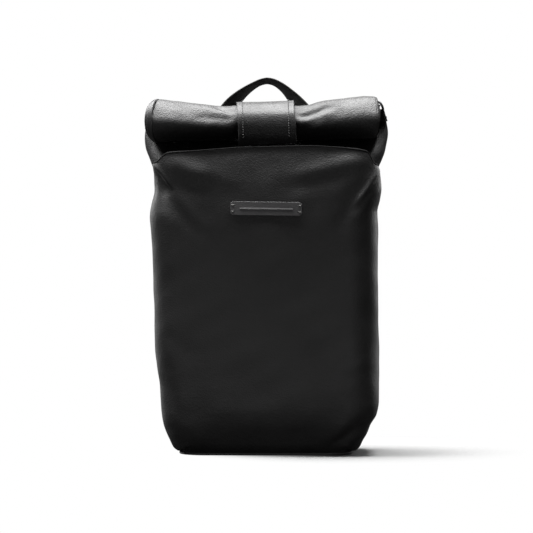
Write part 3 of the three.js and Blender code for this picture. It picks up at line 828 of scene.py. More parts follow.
def collar():
    """The fabric between the body and the roll."""
    t = np.linspace(0, 1, 46)
    p = collar_grid(t)
    normal = grid_normals(p, True)
    outward = np.sign((normal * (p - np.array([0, 28, 400]))).sum(-1).mean())
    normal = normal * outward
    free = (smooth(0, 0.15, t) * smooth(1, 0.8, t))[:, None]
    p = p + normal * (0.7 * waves(p, 34, 6) * free)[..., None]
    # The top edge of each side folds inward.
    wing = smooth(141, 147, np.abs(p[-1, :, 0]))[:, None]
    lips = []
    for k in range(1, 6):
        turn = math.radians(28 * k)
        inwards = -normal[-1] * (2.6 * (1 - math.cos(turn)))
        up = np.array([0, 0, 1]) * (2.6 * math.sin(turn))
        lips.append(p[-1] + (inwards + up) * wing + np.array([0, 0, 0.15 * k]) * (1 - wing))
    p = np.concatenate([p, np.array(lips)])
    obj = sheet("collar_leather", p, 1.2, COLLAR_LEATHER, loop=True, inward=outward)
    attach_across(obj, "bag", "collar", "leather", (0, 30, 372), (0, 30, 402),
                  "collar_front", "collar_back", "gusset_left", "gusset_right")


collar()


# ------------------------------------------------------------------ roll
ROLL_X = [-142, -111, -83, -51, 0, 51, 77, 102, 128, 146]


def under_strap(x):
    """1 where the closure strap covers the roll, 0 beside it."""
    return smooth(46, 28, np.abs(x))


def roll_radius(x):
    free = spline(x, ROLL_X, [29.4, 27.2, 25.4, 24.0, 23.6, 24.2, 27.2, 28.2, 29.0, 28.6])
    return free + (21.2 - free) * under_strap(x)


def roll_centre_z(x):
    free = spline(x, ROLL_X, [424.6, 423.2, 421.8, 421.0, 420.8, 421.4, 424.6, 426.8, 428.4, 428.4])
    return free + (ROLL_Z - free) * under_strap(x)


def roll_end(turn, left):
    """Distance of the roll's cut end from the middle; turn is 0 at the top and pi/2 at the front."""
    front = np.maximum(np.sin(turn), 0) ** 0.8
    if left:
        return 139.5 + 9.0 * front
    return 142.5 + 3.0 * front * smooth(2.6, 1.6, turn)


def roll_facet(turn, x):
    """The roll is pressed flat on its upper front: the share of the full radius that is left there."""
    middle, reach, sharpness = math.radians(48), 1.3, 9.0
    off = np.where(turn > math.pi, turn - 2 * math.pi, turn) - middle
    depth = 0.95 - 0.14 * smooth(30, 52, np.abs(x)) + 0.04 * smooth(70, 140, np.abs(x))
    chord = np.where(np.abs(off) < reach, depth / np.cos(np.clip(off, -reach, reach)), 4.0)
    return -np.log(np.exp(-sharpness) + np.exp(-sharpness * chord)) / sharpness + 0.012


ROUND_MM = 28           # distance round the roll for each radian of turn
# Folds of the roll, as those of the front, with the distance round the roll from its top in place of z.
ROLL_FOLDS = [
    ((-96, 12), (-40, 24), 9, 1.5), ((-84, 36), (-40, 36), 7, -1.0), ((-64, 6), (-42, 22), 5, -1.0),
    ((92, 10), (46, 22), 8, 1.2), ((86, 30), (44, 44), 8, 1.7), ((84, 18), (44, 32), 6, -1.6),
    ((70, 38), (42, 54), 6, -1.0), ((-124, 22), (-60, 30), 12, 0.8), ((134, 30), (84, 20), 10, 0.7),
]


def roll_relief(x, turn):
    """Soft creases where the closure strap pulls on the roll."""
    round_it = turn * ROUND_MM
    total = sum(ridge(x, round_it, start, end, width, height) for start, end, width, height in ROLL_FOLDS)
    p = np.stack([x, round_it, 0 * x], axis=-1)
    near = np.exp(-((np.abs(x) - 52) / 26) ** 2)
    return total + near * 0.6 * waves(p, 24, 3) + 0.5 * waves(p, 58, 9) + 0.16 * waves(p, 15, 5)


def around_roll(x, radius, turn):
    """Points at the given turn and radius round the roll's own centre line."""
    return np.stack([x, ROLL_Y - radius * np.sin(turn), roll_centre_z(x) + radius * np.cos(turn)], axis=-1)


def roll():
    """The rolled mouth: a spiral of leather whose outer turn carries the folds."""
    around, columns, turns, ply, pitch = 150, 190, 2.5, 2.4, 4.2
    rear = -math.pi / 2
    turn = np.linspace(rear, rear + 2 * math.pi * turns, around)
    turn, share = np.meshgrid(turn, np.linspace(0, 1, columns), indexing="ij")
    wound = (turn - rear) / (2 * math.pi)
    wrapped = np.mod(turn, 2 * math.pi)
    left, right = roll_end(wrapped, True), roll_end(wrapped, False)
    inner_step = 2.2 * np.clip(wound - 0.6, 0, 1.2)
    x = -(left + inner_step) + (left + right + 1.6 * inner_step) * share
    flat = 1 - roll_facet(wrapped, x)
    radius = (roll_radius(x) - pitch * wound) * (1 - flat * smooth(2.0, 0.8, wound))
    relief = roll_relief(x, np.where(turn > math.pi, turn - 2 * math.pi, turn)) * smooth(1.15, 0.9, wound)
    outer_r = radius + relief
    # Each end of the roll rounds off a little.
    edge = np.minimum(x + left + inner_step, right + 0.6 * inner_step - x)
    outer_r = outer_r - 1.2 * (1 - smooth(0, 6, edge)) ** 2
    thick = ply - 0.5 * (1 - smooth(0, 3, edge))
    points, faces = shell_mesh(around_roll(x, outer_r, turn), around_roll(x, outer_r - thick, turn))
    attach(to_object("roll_leather", points, faces, ROLL_LEATHER), "roll", "leather", "roll")


def roll_edges():
    """Bound edges of the inner plies, seen at the roll's left end."""
    parts = []
    for reach, shrink in ((3.2, 0.6), (6.0, 2.2)):
        turn = np.linspace(math.radians(-30), math.radians(215), 70)
        near = roll_end(np.mod(turn, 2 * math.pi), True)
        fan = np.maximum(np.sin(turn), 0) ** 0.8
        rows = []
        for across in (0.0, 0.25, 0.6, 0.9, 1.0):
            x = -(near - 3 + (3 + reach * fan) * across)
            rows.append(around_roll(x, roll_radius(x) - shrink - 1.1 * across ** 2, turn))
        outer = np.array(rows)
        normal = grid_normals(outer)
        centre = np.array([0, ROLL_Y, 423])
        sign = np.sign((normal[..., 1:] * (outer - centre)[..., 1:]).sum(-1).mean())
        parts.append(shell_mesh(outer, outer - normal * sign * 1.3))
    attach(joined("roll_edge_plies", parts, EDGE_LEATHER), "roll", "leather")


roll()
roll_edges()


# ------------------------------------------------------------------ bands that follow a path
def frame_path(path, across_hint):
    """For a path (n, 3): unit vectors across it and outward from it at each point."""
    p = np.asarray(path, float)
    along = unit(np.gradient(p, axis=0))
    hint = np.broadcast_to(np.asarray(across_hint, float), p.shape)
    across = unit(hint - (hint * along).sum(-1, keepdims=True) * along)
    return across, np.cross(across, along)


def band(name, path, across_hint, width, thickness, material, columns=17, edge=0.35, crown=0.0):
    """A flat band with softened edges. The pattern attribute holds its position across and along."""
    p = np.asarray(path, float)
    across, out = frame_path(p, across_hint)
    u = np.linspace(-1, 1, columns)
    width = np.broadcast_to(np.asarray(width, float), (len(p),))
    profile = edge + (1 - edge) * (1 - np.abs(u) ** 6)
    half = thickness / 2 * profile
    middle = p[:, None, :] + across[:, None, :] * (u[None, :, None] * width[:, None, None] / 2)
    middle = middle + out[:, None, :] * (crown * (1 - u ** 2))[None, :, None]
    outer = middle + out[:, None, :] * half[None, :, None]
    inner = middle - out[:, None, :] * half[None, :, None]
    length = run_length(p)
    place = np.broadcast_arrays((u[None, :] + 1) / 2, length[:, None], np.zeros((len(p), columns)))
    points, faces = shell_mesh(outer, inner)
    pattern = np.concatenate([np.stack(place, axis=-1).reshape(-1, 3)] * 2)
    return to_object(name, points, faces, material, pattern)


def webbing_band(name, path, across, width=WEBBING, thickness=1.5, columns=15, material=WEB):
    """A band with webbing's thin edges."""
    return band(name, path, across, width, thickness, material, columns, 0.5)


def smooth_path(points, step=2.0):
    """A curve through the points, sampled every step."""
    p = np.asarray(points, float)
    length = run_length(p)
    n = max(8, int(length[-1] / step))
    m = np.gradient(p, length, axis=0)
    at = np.linspace(0, length[-1], n)
    i = np.clip(np.searchsorted(length, at, side="right") - 1, 0, len(p) - 2)
    h = (length[i + 1] - length[i])[:, None]
    return hermite((at - length[i])[:, None] / h, h, p[i], p[i + 1], m[i], m[i + 1])


# ------------------------------------------------------------------ closure strap
def closure_strap():
    """The wide strap: up from its root behind the roll, over it and down its front."""
    centre_y, back, front, rise = 19.5, 36.8, 31.6, 27.4
    arc = []
    for a in np.linspace(0, math.pi, 25):
        bend = 1.0 if a < math.pi / 2 else 1.1       # the front quarter is a little flatter than round
        reach = back * math.cos(a) if a < math.pi / 2 else -front * abs(math.cos(a)) ** bend
        arc.append((centre_y + reach, ROLL_Z - 3 + rise * math.sin(a) ** bend))
    line = [(56.6, 403), (56.3, 410)] + arc[1:] + [(-11.9, 413), (-11.4, 405), (-10.0, 399), (-7.6, 394.9)]
    sway = np.linspace(0, 1, len(line))
    raw = [(-1.6 + 4.6 * k ** 2, y, z) for k, (y, z) in zip(sway, line)]
    path = smooth_path(raw, 2.0)
    share = np.linspace(0, 1, len(path))
    width = 71.6 + 3.0 * share
    x_way = np.array([1.0, 0, 0])
    out = -frame_path(path, x_way)[1]
    wrinkle = 0.45 * np.sin(share * 46) * smooth(0.25, 0.6, share) * smooth(0.95, 0.7, share)
    over = np.sin(math.pi * smooth(0.05, 0.95, share)) ** 2
    tilt = x_way + np.array([0, 0, 0.03]) * over[:, None]
    top = band("closure_strap_leather", path + out * (0.9 + wrinkle[:, None] * 0.5), tilt, width, 1.9,
               STRAP_LEATHER, 41, 0.4, 0.9)
    attach(top, "closure_strap", "leather", "closure_strap")
    under = band("closure_strap_lining", path - out * 0.7, tilt, width - 0.6, 1.3, EDGE_LEATHER, 25, 0.5)
    attach(under, "closure_strap", "leather")
    parts = []
    run = slice(6, len(path) - 4)
    for side in (-1, 1):
        edge = path[run] + out[run] * (2.2 + wrinkle[run, None] * 0.5)
        edge[:, 0] = -0.9 + side * 29.2 + 2.0 * share[run] ** 2
        edge[:, 2] += side * 29.2 * 0.03 * over[run]
        parts += stitches(edge, out[run], 1.5, 1.7, 0.45, 0.25)
    attach(joined("closure_strap_stitches", parts, THREAD_GREY), "closure_strap", "webbing")


closure_strap()


# ------------------------------------------------------------------ top handle
def top_handle():
    """Webbing that lies flat on the back at its feet and stands on edge at the top of the arch."""
    # Across the bag and up from the feet; the plane leans back.
    arch = [(-63, 14), (-57, 34), (-42.5, 59.5), (-31, 71.5), (-18, 81.5), (-5, 88.4), (2, 89.8),
            (9.5, 88.4), (20.5, 82), (30.5, 72.5), (41, 60), (57, 34), (63, 14)]
    lean = math.radians(15)
    raw = [(x, 78 + up * math.sin(lean), 390 + up * math.cos(lean)) for x, up in arch]
    foot = [(69.3, 364), (69.5, 374), (71.5, 383), (75.2, 391)]
    raw = [(-66.5, y, z) for y, z in foot] + raw + [(66.0, y, z) for y, z in foot[::-1]]
    path = smooth_path(raw, 1.6)
    u = np.linspace(0, 1, len(path))
    along = unit(np.gradient(path, axis=0))
    flat = np.array([0, math.cos(lean), -math.sin(lean)])
    upright = unit(np.cross(along, flat))
    twist = (1.53 * np.sin(math.pi * u) ** 2.8)[:, None]
    normal = flat * np.cos(twist) + upright * np.sin(twist)
    across = np.cross(normal, along)
    obj = band("top_handle_webbing", path, across, WEBBING, 2.2, WEB, 15, 0.55)
    attach_across(obj, "bag", "top_handle", "webbing", (0, 70, 378), (0, 78, 396), "top_handle")


top_handle()


# ------------------------------------------------------------------ nameplate
PLATE_Z = 314.0


def front_y(x, z):
    """The y of the finished shell's front at (x, z)."""
    near = np.argmin((BODY[..., 0] - x) ** 2 + (BODY[..., 2] - z) ** 2 + 1e6 * (BODY[..., 1] > -30))
    return BODY.reshape(-1, 3)[near, 1]


def plate_place():
    """A function from the plate's own x, z and height above the front to a point in the frame."""
    reach = 8
    lean = math.atan2(front_y(0, PLATE_Z + reach) - front_y(0, PLATE_Z - reach), 2 * reach)
    turn = math.radians(-0.8)
    spots = [(x, dz) for x in (-40, 0, 40) for dz in (-7, 0, 7)]
    touch = min(front_y(x, PLATE_Z + dz) - dz * math.tan(lean) for x, dz in spots) - 0.15

    def place(x, z, out):
        across = x * math.cos(turn) - z * math.sin(turn) + 0.9
        up = x * math.sin(turn) + z * math.cos(turn)
        y = touch + up * math.sin(lean) - out * math.cos(lean)
        return across, y, PLATE_Z + up * math.cos(lean) + out * math.sin(lean)

    return place


def nameplate():
    """The patch with its plain groove, and at each end two tack stitches and two small holes."""
    place = plate_place()
    w, h, face_out = 45.0, 8.6, 1.75
    bm = bmesh.new()

    def loop(corners, out):
        return [bm.verts.new(metres(place(x, z, out))) for x, z in corners]

    def outline(inset, cut):
        x, z = w - inset, h - inset
        right = [(x, -z + cut), (x, z - cut)]
        left = [(-x, z - cut), (-x, -z + cut)]
        return [(x - cut, z), (-x + cut, z)] + left + [(-x + cut, -z), (x - cut, -z)] + right

    foot = loop(outline(0, 2.4), 0.0)
    shoulder = loop(outline(0, 2.4), 1.4)
    face = loop(outline(0.3, 2.3), face_out)
    bridge(bm, foot, shoulder)
    bridge(bm, shoulder, face)
    g = loop([(33.7, 1.0), (-33.7, 1.0), (-33.7, -1.1), (33.7, -1.1)], face_out)
    ridge_top = loop([(33.5, -0.75), (-33.5, -0.75), (-33.5, -0.95), (33.5, -0.95)], 2.45)
    bm.faces.new([face[0], face[1], g[1], g[0]])
    bm.faces.new([face[1], face[2], face[3], face[4], g[2], g[1]])
    bm.faces.new([face[4], face[5], g[3], g[2]])
    bm.faces.new([face[5], face[6], face[7], face[0], g[0], g[3]])
    bridge(bm, g, ridge_top)
    bm.faces.new(ridge_top)
    bm.faces.new(foot[::-1])
    attach(bevelled("nameplate_patch", bm, PLATE_LEATHER, 0.14, 20), "bag", "nameplate", "nameplate")
    for i, (sx, sz) in enumerate(((-1, 1), (1, 1), (-1, -1), (1, -1))):
        line = [place(sx * (w - 2.6 - along), sz * 4.1, out)
                for along, out in ((1.1, 1.4), (0.8, 1.95), (0, 2.15), (-0.8, 1.95), (-1.1, 1.4))]
        tack = joined(f"nameplate_tack_thread_{i + 1}", [tube(smooth_path(line, 0.3), 0.7, 10)], THREAD_LIGHT)
        attach(tack, "bag", "webbing", f"nameplate_tack_{i + 1}")
        x, z = sx * (w - 4.9), sz * 4.1
        turn = np.linspace(0, 2 * math.pi, 13)[:-1]
        rings = [[place(x + radius * math.cos(a), z + radius * math.sin(a), out) for a in turn]
                 for radius, out in ((0.62, 1.78), (0.5, 1.55))]
        attach(joined(f"nameplate_hole_{i + 1}", [loft(rings)], THREAD_BLACK), "bag", "nameplate")


nameplate()


# ------------------------------------------------------------------ hooks at the roll's ends
def side_hooks():
    """The webbing tab and the wire hook at each end of the roll."""
    for side, sign, foot, yaw in (("right", 1, (151, 28, 427), 32), ("left", -1, (149.5, 34, 417), 30)):
        lean = math.radians(20)
        turn = math.radians(yaw)
        across = np.array([math.sin(turn), -math.cos(turn), 0.0])
        up = unit(np.array([-math.sin(lean), -0.05, math.cos(lean)]))
        across = unit(across - (across @ up) * up)
        out = np.cross(across, up)

        def place(a, u, o):
            q = np.array(foot) + across * a + up * u + out * o
            return np.array([q[0] * sign, q[1], q[2]])

        # The tab: webbing that comes up, goes round the hook's lower bar and comes down again.
        loop = [(-1.0, -4), (-1.1, 4), (-1.5, 9), (-1.3, 11.4), (0, 12.7),
                (1.3, 11.4), (1.5, 9), (1.1, 4), (1.0, -4)]
        path = smooth_path([place(0, u, o) for o, u in loop], 0.8)
        mirror = np.array([sign, 1, 1])
        tab = webbing_band(f"hook_webbing_{side}_tab", path, across * mirror, 14, 1.0, 11, WEB_FINE)
        attach_across(tab, "collar", f"hook_{side}", "webbing", place(0, -3, 0), place(0, 12, 0),
                      f"hook_webbing_{side}")
        # The hook: a flattened ring of wire with an open mouth and a turned-in nose.
        ring = [(-7.5, 11.2), (-8.6, 13.5), (-8.2, 18.5), (-6.2, 21.6), (-2.5, 22.8), (2.5, 22.8),
                (6.2, 21.6), (8.2, 18.5), (8.6, 13.5), (7.5, 11.2), (4.5, 10.6), (0, 10.5), (-4.5, 10.6),
                (-7.5, 11.2)]
        wire = smooth_path([place(a, u, 0) for a, u in ring], 0.8)[:-1]
        bar = tube(wire, 1.6, 10, loop=True, up=out * mirror)
        turned_in = [(-7.9, 18.5, 0), (-3.5, 17.0, 0.6), (2.5, 16.6, 1.2), (5.4, 18.4, 1.2)]
        nose = tube(smooth_path([place(*q) for q in turned_in], 0.8), 1.0, 10, up=out * mirror)
        hook = joined(f"side_hook_{side}_wire", [bar, nose], DARK_METAL)
        attach(hook, f"hook_{side}", "dark_metal", f"side_hook_{side}")


side_hooks()


# ------------------------------------------------------------------ plates with soft edges, facing the back
def rounded_grid(half_w, half_h, corner, columns, rows):
    """Points over a rounded rectangle, closer together near its edge: x, z and each one's way to the edge."""
    u, v = np.linspace(-1, 1, columns), np.linspace(-1, 1, rows)
    u, v = (0.55 * t + 0.45 * np.sin(t * math.pi / 2) for t in (u, v))
    gx, gz = np.meshgrid(u * half_w, v * half_h)
    ax, az = np.abs(gx) - (half_w - corner), np.abs(gz) - (half_h - corner)
    a, b = np.clip(ax / corner, 0, 1), np.clip(az / corner, 0, 1)
    cornered = (ax > 0) & (az > 0)
    x = np.where(cornered, np.sign(gx) * (half_w - corner + corner * a * np.sqrt(1 - b * b / 2)), gx)
    z = np.where(cornered, np.sign(gz) * (half_h - corner + corner * b * np.sqrt(1 - a * a / 2)), gz)
    away = np.hypot(np.abs(x) - (half_w - corner), np.abs(z) - (half_h - corner))
    edge = np.where(cornered, corner - away, np.minimum(half_w - np.abs(x), half_h - np.abs(z)))
    return x, z, np.maximum(edge, 0)


def rounded_line(half_w, half_h, corner, step=2.0):
    """A closed line round a rounded rectangle: (x, z) pairs, the first repeated at the end."""
    points = []
    for cx, cz, start in ((1, 1, 0), (-1, 1, 90), (-1, -1, 180), (1, -1, 270)):
        for k in range(9):
            t = math.radians(start + k * 90 / 8)
            points.append((cx * (half_w - corner) + corner * math.cos(t), 0,
                           cz * (half_h - corner) + corner * math.sin(t)))
    points.append(points[0])
    return resample(points, step)[0]


def back_plate(name, centre, half_w, half_h, corner, thickness, material, edge=2.0, bulge=0.0, shape=None):
    """A plate whose flat side is at centre's y and whose edges round off towards it."""
    columns, rows = int(half_w / 1.6) + 9, int(half_h / 1.6) + 9
    x, z, away = rounded_grid(half_w, half_h, corner, min(columns, 110), min(rows, 150))
    q = 0.3 + 0.7 * np.sqrt(1 - (1 - np.clip(away / edge, 0, 1)) ** 2)
    swell = bulge * smooth(0, min(half_w, half_h), away)
    outer = np.stack([x + centre[0], centre[1] + thickness * q + swell, z + centre[2]], axis=-1)
    inner = np.stack([x + centre[0], np.full(x.shape, float(centre[1])), z + centre[2]], axis=-1)
    if shape is not None:
        outer, inner = shape(outer), shape(inner)
    points, faces = shell_mesh(outer, inner)
    return to_object(name, points, faces, material)


def seam(name, lines, material, body, slot="webbing", stitch=3.0, gap=1.3):
    """Stitches along lines on a face that looks backward."""
    parts = []
    for line in lines:
        parts += stitches(line, [(0, 1, 0)], stitch, gap, 0.33, 0.22)
    attach(joined(name, parts, material), body, slot)


# ------------------------------------------------------------------ padding by cloth simulation
FRAMES = 20


def inflate(obj, pinned, cap, voxel=4.5, pressure=4.0):
    """Remeshes the pad, swells it by cap at most while the pinned points hold, and smooths it once."""
    remesh = obj.modifiers.new("remesh", "REMESH")
    remesh.mode = "VOXEL"
    remesh.voxel_size = voxel * MM
    apply_modifiers(obj)
    start = get_points(obj)
    hold = obj.vertex_groups.new(name="hold")
    for i in np.nonzero(pinned(start))[0]:
        hold.add([int(i)], 1.0, "REPLACE")
    cloth = obj.modifiers.new("cloth", "CLOTH")
    cloth.settings.effector_weights.gravity = 0
    cloth.settings.use_pressure = True
    cloth.settings.uniform_pressure_force = pressure
    cloth.settings.vertex_group_mass = "hold"
    cloth.settings.quality = 5
    cloth.settings.tension_stiffness = 25
    cloth.settings.compression_stiffness = 8
    cloth.collision_settings.use_collision = False
    cloth.point_cache.frame_start = 1
    cloth.point_cache.frame_end = FRAMES
    for number in range(1, FRAMES + 1):
        bpy.context.scene.frame_set(number)
    apply_modifiers(obj)
    bpy.context.scene.frame_set(1)
    move = get_points(obj) - start
    length = np.linalg.norm(move, axis=1, keepdims=True)
    set_points(obj, start + move * np.minimum(1, cap / np.maximum(length, 1e-6)))
    obj.vertex_groups.clear()
    finer = obj.modifiers.new("subdivision", "SUBSURF")
    finer.levels = 1
    apply_modifiers(obj)
    obj.data.polygons.foreach_set("use_smooth", [True] * len(obj.data.polygons))


def press_lines(obj, lines, depth, width):
    """Presses sewn channels into the outer side of a pad: lines of (start, end) in x and z."""
    p = get_points(obj)
    outer = smooth(FACE_Y + 3.0, FACE_Y + 7.0, p[:, 1])
    total = np.zeros(len(p))
    for start, end in lines:
        total = np.maximum(total, ridge(p[:, 0], p[:, 2], start, end, width, 1.0, 0.02))
    p[:, 1] -= depth * total * outer
    set_points(obj, p)


CAST_Y = 100.0                          # clear of everything that lies on the back
BACKWARD = np.array([0, 25.0, 0])       # takes a line that far behind its own place


def laid_on(obj, line, lift):
    """Moves each point of a line behind the piece forward until it lies on it, lift above its surface."""
    bpy.context.view_layer.update()
    tree = BVHTree.FromObject(obj, bpy.context.evaluated_depsgraph_get())
    forward = Vector((0, -1, 0))
    settled = []
    for point in np.asarray(line, float):
        hit = tree.ray_cast(Vector(point * MM) - forward * 0.03, forward)[0]
        settled.append(np.array(hit) / MM + np.array([0, lift, 0]) if hit else point)
    return np.array(settled)


# ------------------------------------------------------------------ lining
def lining():
    """Cloth inside the shell, seen only through the mouth."""
    s = np.linspace(-0.985, 0.985, 121)
    z = np.repeat(np.linspace(30, 340, 60)[:, None], len(s), axis=1)
    p = body_outline(np.broadcast_to(s, z.shape), z)
    normal = grid_normals(p)
    p = p - normal * (6.8 + 0.5 * waves(p, 48, 8))[..., None]
    p[..., 1] = np.minimum(p[..., 1], 60.5)
    attach(sheet("main_lining_cloth", p, 0.8, LINING), "bag", "lining", "main_lining")


# ------------------------------------------------------------------ back panel, patch and pads
BACK_W = 140.0          # half the width of the back panel before it is fitted to the body


def back_edge(z):
    """How far the back panel reaches to the left and to the right at the height z."""
    inset = 2.8
    return spline(z, LEFT_Z, LEFT_X) - inset, spline(z, RIGHT_Z, RIGHT_X) - inset


def fit_back(points):
    """Stretches a rounded rectangle sideways to the body's own outline."""
    left, right = back_edge(points[..., 2])
    p = points.copy()
    p[..., 0] = np.where(p[..., 0] < 0, p[..., 0] * left / BACK_W, p[..., 0] * right / BACK_W)
    return p


def back_panel():
    """The flat back, its piped seam and its stitching."""
    half_h, corner, mid = 195.4, 17, 198.6

    def shape(p):
        q = fit_back(p)
        q[..., 1] += np.where(q[..., 1] > 63.5, 0.35 * waves(q, 70, 5), 0)
        return q

    panel = back_plate("back_panel_leather", (0, 62.3, mid), BACK_W, half_h, corner, 3.1, BODY_LEATHER, 3.0,
                       shape=shape)
    attach(panel, "bag", "leather", "back_panel")
    rim = fit_back(rounded_line(BACK_W, half_h, corner, 3.0) + np.array([0, 62.9, mid]))
    cord = joined("back_seam_piping", [tube(rim[:-1], 1.7, 8, loop=True, up=(0, 1, 0))], EDGE_LEATHER)
    attach(cord, "bag", "leather")
    line = rounded_line(BACK_W - 6, half_h - 6, corner - 4) + np.array([0, FACE_Y + 0.1, mid])
    seam("back_panel_stitches", [fit_back(line)], THREAD_BLACK, "bag", "leather", 3.4, 1.4)


def yoke():
    """The patch that covers the roots of the straps and the handle."""
    mid, half_w, half_h, corner, thick, inset = 368, 95, 21, 9, 2.2, 3.5
    patch = back_plate("yoke_patch_leather", (0, FACE_Y, mid), half_w, half_h, corner, thick,
                       STRAP_LEATHER, 1.6)
    attach(patch, "bag", "leather", "yoke_patch")
    line = rounded_line(half_w - inset, half_h - inset, 6.5) + np.array([0, FACE_Y + thick, mid])
    seam("yoke_patch_stitches", [line], THREAD_GREY, "bag", "leather")


def pad(name, node, centre, half_w, half_h, channels):
    """A swollen pad with sewn channels, its bound edge and the stitches in the channels."""
    x0, z0 = centre
    base_y = FACE_Y - 0.2
    in_w, in_h = half_w - 1.5, half_h - 1.5         # the swollen pad fills the rest
    obj = back_plate(name, (x0, base_y, z0), in_w, in_h, 15, 8.2, MESH_FABRIC, 7.0, 0.8)

    def pinned(p):
        edge_x = in_w - np.abs(p[:, 0] - x0)
        edge_z = in_h - np.abs(p[:, 2] - z0)
        held = (p[:, 1] < base_y + 2.0) | (np.minimum(edge_x, edge_z) < 2.0)
        for (ax, az), (bx, bz) in channels:
            off = np.abs((p[:, 0] - ax) * (bz - az) - (p[:, 2] - az) * (bx - ax))
            held |= off / math.hypot(bx - ax, bz - az) < 2.6
        return held

    inflate(obj, pinned, 5.0)
    press_lines(obj, channels, 2.6, 2.4)
    attach(obj, "bag", "padding", node)
    rim = rounded_line(half_w, half_h, 16, 2.5) + np.array([x0, FACE_Y + 1.0, z0])
    binding = joined(name + "_binding", [tube(rim[:-1], 1.5, 8, loop=True, up=(0, 1, 0))], EDGE_LEATHER)
    attach(binding, "bag", "leather")
    lines = []
    for start, end in channels:
        line = resample([(start[0], CAST_Y, start[1]), (end[0], CAST_Y, end[1])], 2.0)[0]
        lines.append(laid_on(obj, line, 0.15))
    seam(name + "_stitches", lines, THREAD_GREY, "bag", "padding", 3.4, 1.6)


def pads():
    for side, sign in (("left", -1), ("right", 1)):
        x = 60 * sign
        channels = [((x - 46, z), (x + 46, z)) for z in (225, 279)]
        pad(f"back_pad_{side}_cushion", f"back_pad_{side}", (x, 252), 52, 80, channels)
    pad("lumbar_pad_cushion", "lumbar_pad", (0, 92), 78, 42, [((-26, 56), (-26, 128)), ((26, 56), (26, 128))])


def luggage_band():
    """The band over the lumbar pad, sewn down in a box at each end."""
    z = 152
    half = [(0, 77.9), (40, 77.4), (78, 75.6), (96, 71.5), (108, 67.4), (116, 66.6)]
    line = [(-x, y, z) for x, y in half[:0:-1]] + [(x, y, z) for x, y in half]
    obj = webbing_band("luggage_band_webbing", smooth_path(line, 1.6), (0, 0, 1), 26, 1.6, 17)
    attach(obj, "bag", "webbing", "luggage_band")
    boxes = []
    for sign in (-1, 1):
        corners = [(115, z - 11), (108.5, z - 11), (108.5, z + 11), (115, z + 11), (115, z - 11)]
        flat = resample([(sign * x, CAST_Y, up) for x, up in corners], 2.0)[0]
        boxes.append(laid_on(obj, flat, 0.1))
    seam("luggage_band_stitches", boxes, THREAD_GREY, "bag", "webbing", 2.6, 1.2)


# ------------------------------------------------------------------ shoulder straps
# The strap's middle line and its width, from its lower end up.
STRAP_Z = [138, 142, 195, 260, 325, 360, 378]
STRAP_X = [92, 91, 80, 67, 57, 52, 50]
STRAP_Y = [91.0, 91.5, 97, 101, 96, 86, 76]
STRAP_WIDTH = [30, 33, 51, 60, 61, 58, 47]


def strap_line(side, z):
    x = spline(z, STRAP_Z, STRAP_X) * side
    return np.stack([x, spline(z, STRAP_Z, STRAP_Y), z + 0 * x], axis=-1)


def strap_frames(side, z):
    """The strap's middle line, and unit vectors across it and outward from it."""
    middle = strap_line(side, z)
    along = unit(np.gradient(middle, axis=0))
    across = unit(np.stack([-along[:, 2], 0 * along[:, 0], along[:, 0]], axis=1))
    if across[0, 0] * side < 0:
        across = -across
    out = unit(np.cross(along, across))
    out = out * np.sign(out[:, 1:2])
    return middle, across, out


def strap_padding(side_name, side, z, half_width):
    """The padded strap itself, thickest in its middle."""
    body = f"shoulder_strap_{side_name}"
    middle, across, out = strap_frames(side, z)
    ends = np.minimum(smooth(136, 150, z), smooth(379, 362, z))
    u = np.linspace(-1, 1, 29)
    thick = (3.8 * ends + 1.2)[:, None] * (0.3 + 0.7 * np.sqrt(np.maximum(0, 1 - np.abs(u) ** 3)))[None, :]
    flat = middle[:, None, :] + across[:, None, :] * (half_width[:, None] * u)[..., None]
    skin = out[:, None, :] * thick[..., None]
    points, faces = shell_mesh(flat + skin, flat - skin)
    obj = to_object(f"{body}_padding", points, faces, MESH_FABRIC)

    def pinned(p):
        centre = strap_line(side, p[:, 2])
        near_edge = np.abs(p[:, 0] - centre[:, 0]) > spline(p[:, 2], STRAP_Z, STRAP_WIDTH) / 2 - 3.5
        return near_edge | (p[:, 2] < 144) | (p[:, 2] > 372)

    inflate(obj, pinned, 3.0, 4.0, 3.0)
    attach(obj, body, "padding", body)
    return obj


def strap_cover(side_name, side, z, half_width, padding):
    """Leather on the padding's outer face, a little narrower than it, with bound and stitched edges."""
    body = f"shoulder_strap_{side_name}"
    middle, across, out = strap_frames(side, z)
    inner = slice(2, -2)
    v = np.linspace(-1, 1, 33)
    cover = middle[inner, None, :] + across[inner, None, :] * ((half_width[inner, None] - 2.6) * v)[..., None]
    settled = laid_on(padding, cover.reshape(-1, 3) + BACKWARD, 0.0).reshape(cover.shape)
    settled = settled + out[inner, None, :] * 0.9
    rim = np.ones(settled.shape[:2])
    rim[:, (0, -1)] = 0.2
    rim[(0, -1), :] = 0.2
    points, faces = shell_mesh(settled + out[inner, None, :] * (0.5 * rim)[..., None],
                               settled - out[inner, None, :] * 0.9)
    obj = to_object(f"{body}_leather", points, faces, STRAP_LEATHER)
    attach(obj, body, "leather")

    edges, lines = [], []
    for sign in (-1, 1):
        edge = middle + across * (sign * half_width)[:, None]
        edges.append(tube(resample(edge, 2.5)[0], 1.7, 8, up=(0, 1, 0)))
        sewn = middle[4:-4] + across[4:-4] * (sign * (half_width[4:-4, None] - 5.2)) + BACKWARD
        lines.append(laid_on(obj, sewn, 0.1))
    attach(joined(f"{body}_binding", edges, EDGE_LEATHER), body, "leather")
    seam(f"{body}_stitches", lines, THREAD_GREY, body, "leather")
    return obj


